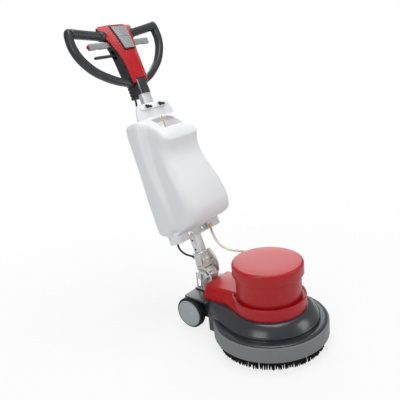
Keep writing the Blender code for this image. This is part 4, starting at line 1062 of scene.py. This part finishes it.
# The mask for the painted glow: points whose normals face the tank's core line.
glow = tank_skin.attributes.new("inside", "FLOAT", "POINT")
for vertex, share in zip(tank_skin.vertices, glow.data):
    to_core = Vector((0.0, CORE_S, vertex.co.z)) - vertex.co
    share.value = 1.0 if vertex.normal.dot(to_core) > 0 else 0.0

# %% [markdown]
# ## What holds and drains the tank
#
# Two wing screws and a white plate clamp the tank's flange to the stem, and a steel plate with two
# bolts holds its foot. The drain valve is a brass body with a hexagon collar and a spout. A brass rod
# comes up through the mouth, so the operator can lift the stopper.

# %% Plates and wing screws
plate = Shape().plate(round_box(0.071, 0.709, 0.729, 0.0095), 0.0268, 0.0300, place=UPRIGHT).soften(0.0009, 2)
for x in (-0.036, 0.036):
    plate.combine(Shape().rod((x, -0.05, 0.719), (x, 0.03, 0.719), 0.0036))
plate.piece("clamp_plate", white_plate, "handle", "upper_plate", place=ON_STEM)
EAR_TURN = -0.25
for x, name in ((-0.036, "left"), (0.036, "right")):
    screw = Shape().rod((x, 0.024, 0.719), (x, -0.034, 0.719), 0.0033, sides=20)
    screw.rod((x, -0.0303, 0.719), (x, -0.0390, 0.719), 0.0072, 0.0058)
    ear = [(0.004, -0.0035), (0.012, -0.0052), (0.0155, -0.0040), (0.0165, 0.0), (0.0150, 0.0042),
           (0.0115, 0.0050), (0.004, 0.0030), (-0.004, 0.0035), (-0.012, 0.0052), (-0.0155, 0.0040),
           (-0.0165, 0.0), (-0.0150, -0.0042), (-0.0115, -0.0050), (-0.004, -0.0030)]
    turned_ear = [(x + u * cos(EAR_TURN) - v * sin(EAR_TURN), 0.719 + u * sin(EAR_TURN) + v * cos(EAR_TURN))
                  for u, v in ear]
    screw.plate(turned_ear, 0.0355, 0.0415, place=UPRIGHT)
    screw.soften(0.0008, 2).piece(f"wing_{name}", soft_black, "handle", f"wing_screw_{name}", place=ON_STEM)

# %% Lower plate, drain valve and rod
FRONT_S = -0.0403
low_plate = Shape().plate(round_box(0.070, 0.1845, 0.2045, 0.006), -FRONT_S, -FRONT_S + 0.0025, place=UPRIGHT)
low_plate.combine(Shape().rod((0.045, -0.07, 0.1945), (0.045, -0.03, 0.1945), 0.0093))
for x in (-0.052, 0.010):
    low_plate.rod((x, FRONT_S - 0.001, 0.1945), (x, FRONT_S - 0.0036, 0.1945), 0.0078)
    low_plate.rod((x, FRONT_S - 0.003, 0.1945), (x, FRONT_S - 0.0070, 0.1945), 0.0058, sides=6)
low_plate.soften(0.0005, 2).piece("foot_plate", plate_steel, "handle", "lower_plate", place=ON_STEM)
collar = Shape().rod((0.045, FRONT_S - 0.001, 0.1945), (0.045, -0.0480, 0.1945), 0.0094, sides=6)
collar.rod((0.045, -0.0480, 0.1945), (0.045, -0.0535, 0.1945), 0.0084)
collar.soften(0.0007, 2).piece("drain_collar", plate_steel, "handle", place=ON_STEM)
valve = Shape().rod((0.045, -0.0300, 0.1945), (0.045, -0.0615, 0.1945), 0.0056)
valve.rod((0.045, -0.055, 0.1945), (0.045, -0.055, 0.1715), 0.0042)
valve.rod((0.045, -0.055, 0.1770), (0.045, -0.055, 0.1735), 0.0050, 0.0042)
valve.soften(0.0006, 2).piece("drain", brass, "handle", "drain_valve", place=ON_STEM)
foot, top = Vector((0.045, -0.0200, 0.185)), Vector((0.004, -0.045, 0.672))
lift = Shape().rod(foot.lerp(top, 0.02), top, 0.0022, sides=20)
lift.rod(foot, foot.lerp(top, 0.018), 0.0055, 0.0065)
lift.rod(foot.lerp(top, 0.018), foot.lerp(top, 0.037), 0.0065, 0.0045)
lift.soften(0.0006, 2).piece("lift_rod", brass, "valve", "valve_rod", place=ON_STEM)

# %% [markdown]
# ## The stem and its tilting foot
#
# The stem is a satin extruded tube with two adjusting holes in its left side. It stands in a cast
# fork, whose legs straddle a notched sector on the deck. The castings are tumbled bright, with deep
# pockets between their ribs, so they are cut from plates whose edges are well rounded.

# %% Stem tube
stem_low, stem_high = 0.052, 0.834
STEM_HALF, STEM_DEEP = 0.024, 0.014
outer = round_box(STEM_HALF, -STEM_DEEP, STEM_DEEP, 0.006, 6)
hollow = round_box(STEM_HALF - 0.002, -STEM_DEEP + 0.002, STEM_DEEP - 0.002, 0.004, 6)
levels = ((outer, stem_low), (outer, stem_high), (hollow, stem_high), (hollow, stem_low))
stem = Shape().skin([[(x, y, height) for x, y in outline] for outline, height in levels], wrap=True)
for height in (0.118, 0.158):
    stem.combine(Shape().rod((-0.03, 0, height), (-0.015, 0, height), 0.0045))
stem.piece("stem", satin_aluminium, "handle", "stem_tube", place=ON_STEM)

# %% [markdown]
# The fork is a socket for the tube with two legs and a bent strut down its right side. Its pockets
# are cut after the legs are joined, as a casting's cores leave them.

# %% Fork
SIDEWAYS = Matrix.Rotation(pi / 2, 4, "Z") @ Matrix.Rotation(pi / 2, 4, "X")
fork = Shape()
SOCKET = ((0.036, 0.0365, 0.0155),
          (0.045, 0.0365, 0.0170),
          (0.058, 0.0355, 0.0185),
          (0.074, 0.0320, 0.0197),
          (0.092, 0.0305, 0.0202),
          (0.105, 0.0300, 0.0200))
fork.skin([[(x, y, h) for x, y in round_box(w, -d, d, 0.007, 5)] for h, w, d in SOCKET])
fork.soften(0.0015, 2)
for x0, x1 in ((-0.0355, -0.0225), (0.0225, 0.0355)):
    leg = [(0.0165 * cos(radians(a)), 0.0165 * sin(radians(a))) for a in range(180, 361, 12)]
    leg += [(0.0175, 0.020), (0.0190, 0.050), (-0.0190, 0.050), (-0.0175, 0.020)]
    fork.combine(Shape().plate(leg, x0, x1, place=SIDEWAYS).soften(0.0030, 3), "UNION")
    outside = -1 if x0 < 0 else 1
    pocket = rounded([(-0.0095, 0.018), (0.0095, 0.018), (0.0125, 0.048), (-0.0125, 0.048)], 0.004)
    deep = (x0 - 0.01, x0 + 0.0035) if outside < 0 else (x1 - 0.0035, x1 + 0.01)
    fork.combine(Shape().plate(pocket, *deep, place=SIDEWAYS).soften(0.001, 2))
fork.combine(Shape().plate([(x * 1.0127, y * 1.0217) for x, y in outer], 0.0517, 0.12))
for x in (-0.0185, 0.0, 0.0185):
    fork.combine(Shape().block((x - 0.0065, -0.0240, 0.066), (x + 0.0065, -0.0178, 0.098)).soften(0.002, 2))
fork.combine(Shape().block((-0.012, -0.007, 0.03), (0.012, 0.007, 0.06)))
fork.combine(Shape().rod((-0.05, 0, 0), (0.05, 0, 0), 0.0063))
for x in (-0.0355, 0.0355):
    washer = (x, x + (0.002 if x > 0 else -0.002))
    fork.turn([(0.0110, washer[0]), (0.0110, washer[1]), (0.0064, washer[1]), (0.0064, washer[0])], 40,
              wrap=True, place=Matrix.Rotation(pi / 2, 4, "Y"))
fork.piece("fork", cast_aluminium, "handle", "stem_fork", place=ON_STEM, sharp=40)
strut = Shape()
strut_path = evenly(smooth([(0.0270, -0.0150, 0.1030), (0.0300, -0.0235, 0.0800), (0.0345, -0.0285, 0.0520),
                            (0.0375, -0.0250, 0.0230), (0.0385, -0.0140, 0.0020)], 8), 28)
strut.sweep(strut_path, round_box(0.0060, -0.0085, 0.0085, 0.0040, 4))
strut.rod((0.0358, -0.002, -0.001), (0.0432, -0.002, -0.001), 0.0150, sides=40)
strut.soften(0.0016, 3, 50)
strut.rod((0.0428, -0.002, -0.001), (0.0450, -0.002, -0.001), 0.0062)
strut.piece("fork_strut", cast_aluminium, "handle", place=ON_STEM, sharp=45)

# %% [markdown]
# The sector stands on the deck, and a pawl drops into its notches to hold the stem at an angle. A
# thinner quadrant plate stands beside it.

# %% Notched sector and quadrant
AT_PIVOT = Matrix.Translation(PIVOT)
sector_outline = []
for i in range(13):
    angle, radius = radians(150 - 10 * i), 0.0300 if i % 2 else 0.0345
    sector_outline.append((radius * cos(angle), radius * sin(angle)))
sector_outline += [(0.030, -0.035), (0.030, -0.0509), (-0.034, -0.0509), (-0.034, -0.035)]
sector = Shape().plate(sector_outline, -0.021, 0.021, place=SIDEWAYS).soften(0.0012, 2, 30)
sector.combine(Shape().block((-0.030, -0.018, -0.040), (0.030, 0.016, -0.016)).soften(0.003, 2))
for x0, x1 in ((-0.030, -0.017), (0.017, 0.030)):
    pocket = rounded([(-0.018, 0.004), (0.018, 0.004), (0.013, 0.021), (-0.013, 0.021)], 0.004)
    sector.combine(Shape().plate(pocket, x0, x1, place=SIDEWAYS))
sector.combine(Shape().rod((-0.05, 0, 0), (0.05, 0, 0), 0.0063))
foot_low = DECK_TOP + 0.0003 - PIVOT.z
foot_box = Shape().block((-0.048, -0.0334, foot_low), (0.048, 0.0416, foot_low + 0.008)).soften(0.002, 3)
sector.combine(foot_box, "UNION")
for x in (-0.038, 0.038):
    for s in (-0.024, 0.032):
        sector.rod((x, s, foot_low + 0.0075), (x, s, foot_low + 0.0095), 0.0060)
        sector.rod((x, s, foot_low + 0.009), (x, s, foot_low + 0.0135), 0.0046, sides=6)
sector.piece("sector", cast_aluminium, "deck", "yoke_base", place=AT_PIVOT, sharp=40)
quadrant = Shape().plate(arc(0, 0, 0.052, 60, 160, 24) + arc(0, 0, 0.020, 160, 60, 12), -0.0425, -0.038,
                         place=SIDEWAYS)
quadrant.combine(Shape().plate(arc(0, 0, 0.045, 72, 148, 18) + arc(0, 0, 0.033, 148, 72, 14), -0.05, -0.03,
                               place=SIDEWAYS))
quadrant.combine(Shape().block((-0.0425, 0.006, foot_low + 0.0083), (-0.038, 0.034, 0.022)), "UNION")
quadrant.combine(Shape().plate(rounded([(0.012, -0.036), (0.028, -0.036), (0.028, -0.006), (0.012, -0.006)],
                                       0.004), -0.05, -0.03, place=SIDEWAYS))
quadrant.soften(0.0008, 2, 35)
quadrant.piece("quadrant", cast_aluminium, "deck", "tilt_quadrant", place=AT_PIVOT, sharp=40)

# %% [markdown]
# ## The neck
#
# Under the head a dark sleeve with cut corners grips the stem, and a ribbed rubber block behind it
# clamps the lead.

# %% Neck sleeve and lead clamp
SLEEVE = rounded([(-0.0272, 0.0145), (-0.0272, -0.0110), (-0.0150, -0.0200), (0.0150, -0.0200),
                  (0.0272, -0.0110), (0.0272, 0.0145)], 0.0030)
sleeve = Shape()
sleeve.skin([[(x * g, y * g, h) for x, y in SLEEVE] for h, g in ((0.776, 1.0), (0.800, 1.0), (0.8365, 0.97))])
sleeve.combine(Shape().block((-0.0243, -0.0143, 0.70), (0.0243, 0.05, 0.90)))
sleeve.soften(0.0010, 2, 50).piece("sleeve", handle_grey, "handle", "neck_sleeve", place=ON_STEM)
clamp_outline = rounded([(-0.029, 0.0148), (0.029, 0.0148), (0.029, 0.054), (-0.029, 0.054)], 0.007)
levels = [(0.766, 0.94)]
for i in range(5):
    start = 0.7695 + i * 0.0128
    levels += [(start, 1.0), (start + 0.0082, 1.0), (start + 0.0096, 0.93), (start + 0.0114, 0.93)]
levels.append((0.834, 1.0))
clamp = Shape().skin([[(x * g, 0.0148 + (y - 0.0148) * g, h) for x, y in clamp_outline] for h, g in levels])
clamp.soften(0.0006, 1, 50).piece("clamp", soft_black, "handle", "lead_clamp", place=ON_STEM)

# %% [markdown]
# ## The head
#
# The operator's head is two mouldings back to back: a red cover in front and a charcoal case behind.
# The cover is a curved sheet with a flat crest and two falling flanks, narrow at the neck and wide at
# the top, where its wings wrap over the front of the grip bar. A raised grey panel sits on the crest.

# %% Cover's front
BAR_S, BAR_H, BAR_R = 0.040, 1.053, 0.0185
GRIP_ROOT, GRIP_END, GRIP_FALL = 0.0665, 0.2080, 0.155


def grip_height(x):
    """Height of a grip's axis at a distance from the middle."""
    return BAR_H - (GRIP_END - abs(x)) * GRIP_FALL


COVER_ROWS = ((0.824, 0.0405, -0.0165, -0.0075),
              (0.860, 0.042, -0.0165, -0.006),
              (0.900, 0.0435, -0.0155, -0.003),
              (0.935, 0.0475, -0.0125, 0.002),
              (0.965, 0.054, -0.0075, 0.009),
              (0.995, 0.063, -0.001, 0.017),
              (1.020, 0.073, 0.006, 0.024),
              (1.045, 0.0855, 0.0135, 0.0310),
              (1.0585, 0.0885, 0.0175, 0.0340),
              (1.0665, 0.086, 0.0215, 0.0355),
              (1.0700, 0.079, 0.0245, 0.0365))
cover_rows = smooth(COVER_ROWS, 7)


def cover_line(half, middle, edge, height, lift=0.0):
    """Front of the head at a height: flat crest, falling flanks, and wings over the bar."""
    line = []
    for i in range(-16, 17):
        t = abs(i) / 16
        slope = max(0.0, (t - 0.44) / 0.56)
        s = middle + (edge - middle) * (sqrt(slope * slope + 0.0009) - 0.03 + 0.06 * slope * (1 - slope))
        x = half * i / 16
        over = (BAR_R + 0.0020) ** 2 - (height - grip_height(x)) ** 2
        reach = min(1.0, max(0.0, (abs(x) - 0.050) / 0.016))
        if over > 0 and reach > 0:
            bar = BAR_S - sqrt(over)
            s = min(s, s + (bar - s) * reach * reach * (3 - 2 * reach)) if bar < s else s
        line.append((x, s + lift))
    return line


cover_shape = Shape()
rings = []
for height, half, middle, edge in cover_rows:
    front = cover_line(half, middle, edge, height)
    behind = [(x * 0.97, s + WALL) for x, s in reversed(front)]
    rings.append([(x, s, height) for x, s in front + behind])
cover_shape.skin(rings)
cover_shape.combine(Shape().block((-0.0275, -0.04, 0.80), (0.0275, 0.02, 0.8385)).soften(0.002, 2))
hood = rounded([(-0.0235, 0.8385), (0.0235, 0.8385), (0.0205, 0.8470), (-0.0205, 0.8470)], 0.002, 3)
hood_shape = Shape().plate(hood, 0.0140, 0.0192, place=UPRIGHT).soften(0.0012, 2)
cover_shape.combine(hood_shape, "UNION")
cover_shape.piece("head_front", gloss_red, "handle", "head_cover", place=ON_STEM, sharp=32)

# %% [markdown]
# The case follows the cover's front, a wall's thickness behind it, and closes at the back. It is
# pocketed for the levers, which turn on small pins.

# %% Case
case = Shape()
rings = []
for height, half, middle, edge in cover_rows:
    front = [(x * 0.965, s) for x, s in cover_line(half, middle, edge, height, WALL + 0.0012)]
    side = half * 0.965
    back_half = min(side, 0.030 + (height - 0.82) * 0.17)
    rear = [(side, edge + 0.014), (side * 0.6 + back_half * 0.4, 0.046), (back_half + 0.001, 0.052),
            (back_half - 0.003, 0.055), (-back_half + 0.003, 0.055), (-back_half - 0.001, 0.052),
            (-side * 0.6 - back_half * 0.4, 0.046), (-side, edge + 0.014)]
    rings.append([(x, s, max(height, 0.8365)) for x, s in front + rear])
case.skin(rings[3:])
for side in (-1, 1):
    x0, x1 = sorted((side * 0.040, side * 0.12))
    case.combine(Shape().block((x0, 0.0275, 0.979), (x1, 0.0445, 1.0105)))
case.combine(Shape().block((-0.12, 0.0275, 0.936), (-0.022, 0.0445, 0.972)))
for side, x, h in ((-1, 0.056, 0.995), (1, 0.056, 0.995), (-1, 0.036, 0.951)):
    case.rod((side * x, 0.0265, h), (side * x, 0.0455, h), 0.0026)
for side in (-1, 1):
    collar = arc(0, 0, 0.0212, 0, 345, 24)
    case.skin([[(side * x, BAR_S + u * g, grip_height(x) + v * g) for u, v in collar]
               for x, g in ((0.060, 0.95), (0.0700, 1.0), (0.0860, 1.0), (0.0890, 0.93))])
for i in range(7):
    height = 0.868 + i * 0.0085
    case.block((-0.0425, 0.012, height), (-0.0395, 0.040, height + 0.003))
    case.block((0.0395, 0.012, height), (0.0425, 0.040, height + 0.003))
case.piece("head_case", handle_grey, "handle", "head_housing", place=ON_STEM, sharp=35)

# %% [markdown]
# The panel is a dark skirt with a grey face on it, and one fine joint line across. Both follow the
# crest of the cover, so they are lofted up the head and not cut from a flat plate.

# %% Control panel
PANEL_ROWS = ((0.958, 0.0255),
              (0.965, 0.0266),
              (0.995, 0.0305),
              (1.020, 0.034),
              (1.045, 0.0375),
              (1.0635, 0.040))


def crest_at(height):
    """Middle of the cover's front at a height."""
    for (h0, _, m0, _), (h1, _, m1, _) in zip(cover_rows, cover_rows[1:]):
        if height <= h1:
            return m0 + (m1 - m0) * (height - h0) / (h1 - h0)
    return cover_rows[-1][2]


def panel(shape, shrink, rise, depth, low, high):
    """A plate of the panel's outline over the crest, between two heights up the head."""
    rings = []
    for height, half in smooth(PANEL_ROWS, 4):
        if low <= height <= high:
            front = crest_at(height) - rise
            w = half - shrink
            rings.append([(-w, front + depth, height), (-w, front, height), (0, front - 0.0004, height),
                          (w, front, height), (w, front + depth, height)])
    return shape.skin(rings)


skirt = panel(Shape(), -0.0006, 0.0052, 0.0068, 0.9, 1.1).soften(0.0012, 2)
skirt.piece("panel_skirt", skirt_grey, "handle", place=ON_STEM)
face = panel(Shape(), 0.0012, 0.0078, 0.0030, 0.9605, 1.0625).soften(0.0009, 2)
face.combine(Shape().block((-0.05, -0.03, 1.0120), (0.05, crest_at(1.0125) - 0.0070, 1.0132)))
face.piece("panel_face", panel_grey, "handle", "control_panel", place=ON_STEM)

# %% [markdown]
# ## Grips, loops and levers
#
# Straight grips leave the case on both sides, and a flattened loop sweeps from each grip's end down to
# the neck. The loop is one section carried along a curve. The levers are flat paddles whose lower
# edges are scalloped for the fingers.

# %% Grips and loops
def super_ring(half_u, half_v, power, count=32):
    """A squarish ellipse."""
    ring = []
    for i in range(count):
        a = 2 * pi * i / count
        u, v = cos(a), sin(a)
        ring.append((half_u * (abs(u) ** power) * (1 if u > 0 else -1),
                     half_v * (abs(v) ** power) * (1 if v > 0 else -1)))
    return ring


LOOP = [(0.2175, 0.0410, 1.0735),
        (0.2235, 0.0415, 1.0580),
        (0.2270, 0.0415, 1.0380),
        (0.2285, 0.0405, 1.0050),
        (0.2190, 0.0395, 0.9680),
        (0.1975, 0.0380, 0.9320),
        (0.1690, 0.0350, 0.9000),
        (0.1290, 0.0300, 0.8710),
        (0.0880, 0.0230, 0.8480),
        (0.0475, 0.0160, 0.8300),
        (0.0300, 0.0150, 0.8245)]
for side, name in ((-1, "left"), (1, "right")):
    grip = Shape()
    rings = []
    for t in [i / 30 for i in range(31)]:
        x = GRIP_ROOT + (0.2170 - GRIP_ROOT) * t
        swell = 1.0 - 0.06 * sin(pi * t)
        if t in (0.0, 1.0):
            swell *= 0.9
        rings.append([(side * x, BAR_S + u, grip_height(x) + v)
                      for u, v in super_ring(BAR_R * swell, BAR_R * swell, 0.88)])
    grip.skin(rings).piece(f"grip_bar_{name}", handle_grey, "handle", f"grip_{name}", place=ON_STEM)
    loop = Shape()
    path = evenly(smooth([(side * x, s, h) for x, s, h in LOOP], 10), 64)
    rings, across = [], Vector((0, 1, 0))
    for i, spot in enumerate(path):
        ahead = (path[min(i + 1, 63)] - path[max(i - 1, 0)]).normalized()
        deep = (across - ahead * across.dot(ahead)).normalized()
        wide = ahead.cross(deep)
        end = min(1.0, sqrt(max(0.0, 1 - (1 - min(i, 5) / 5) ** 2)) * 0.75 + 0.25)
        taper = 1.0 if i < 52 else 1.0 - 0.22 * (i - 52) / 11
        ring = super_ring(0.0160 * end * taper, 0.0142 * end * taper, 0.60, 40)
        rings.append([spot + deep * (u + 0.0012 * (abs(v) > 0.011 * end)) + wide * v for u, v in ring])
    loop.skin(rings)
    loop.piece(f"hand_loop_{name}", handle_grey, "handle", f"loop_{name}", place=ON_STEM, sharp=50)

# %% [markdown]
# Each switch lever is an outline with finger dips, given a thickness and soft edges. The left lever
# is bored for the red lock button, and the tilt lever below it has a ridged grip.

# %% Levers
def scalloped(x0, x1, low, high, dips, depth):
    """Paddle outline from root to tip with finger dips along its lower edge."""
    lower = []
    for i in range(41):
        t = i / 40
        dip = depth * max(0.0, sin(pi * t * dips)) ** 2
        lower.append((x0 + (x1 - x0) * t, low + dip))
    upper = [(x1, high - 0.004), (x1 - (x1 - x0) * 0.03, high),
             (x0 + (x1 - x0) * 0.3, high - 0.001), (x0, high)]
    return lower + upper


LEVER_H = 0.995
for side, name, tip in ((-1, "left", 0.160), (1, "right", 0.156)):
    lever = Shape().plate(scalloped(side * 0.046, side * tip, LEVER_H - 0.012, LEVER_H + 0.012, 4, 0.0022),
                          -0.0435, -0.0285, place=UPRIGHT)
    lever.soften(0.0024, 3, 50)
    lever.combine(Shape().rod((side * 0.056, 0.01, LEVER_H), (side * 0.056, 0.06, LEVER_H), 0.0029))
    if side < 0:
        lever.combine(Shape().rod((-0.141, 0.036, LEVER_H), (-0.20, 0.036, LEVER_H), 0.0072))
    lever.piece(f"switch_paddle_{name}", panel_grey, f"switch_{name}", f"switch_lever_{name}",
                place=ON_STEM)
button = Shape().turn([(0, 0.1660), (0.0035, 0.1657), (0.0056, 0.1647), (0.0066, 0.1628), (0.0068, 0.1600),
                       (0.0068, 0.1480), (0, 0.1480)], 40, place=Matrix.Translation((0, 0.036, LEVER_H))
                      @ Matrix.Rotation(-pi / 2, 4, "Y"))
button.piece("red_button", gloss_red, "button", "lock_button", place=ON_STEM)
release = Shape()
rings = []
for i in range(49):
    t = i / 48
    x = -0.026 - 0.121 * t
    ridge = 0.0007 * max(0.0, sin(t * 60)) if 0.45 < t < 0.97 else 0.0
    tip = 1.0 if t < 0.97 else 0.8
    rings.append([(x, 0.036 + u * tip, 0.951 + v * tip)
                  for u, v in super_ring(0.0076, 0.0054 + ridge, 0.6, 24)])
release.skin(rings)
release.combine(Shape().rod((-0.036, 0.02, 0.951), (-0.036, 0.05, 0.951), 0.0029))
release.piece("tilt_paddle", handle_grey, "tilt_release", "tilt_lever", place=ON_STEM, sharp=50)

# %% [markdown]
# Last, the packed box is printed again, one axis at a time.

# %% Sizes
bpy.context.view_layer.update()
for name, a, b in zip("xyz", *packed_box):
    print(name, "packed", round(a, 4), round(b, 4))
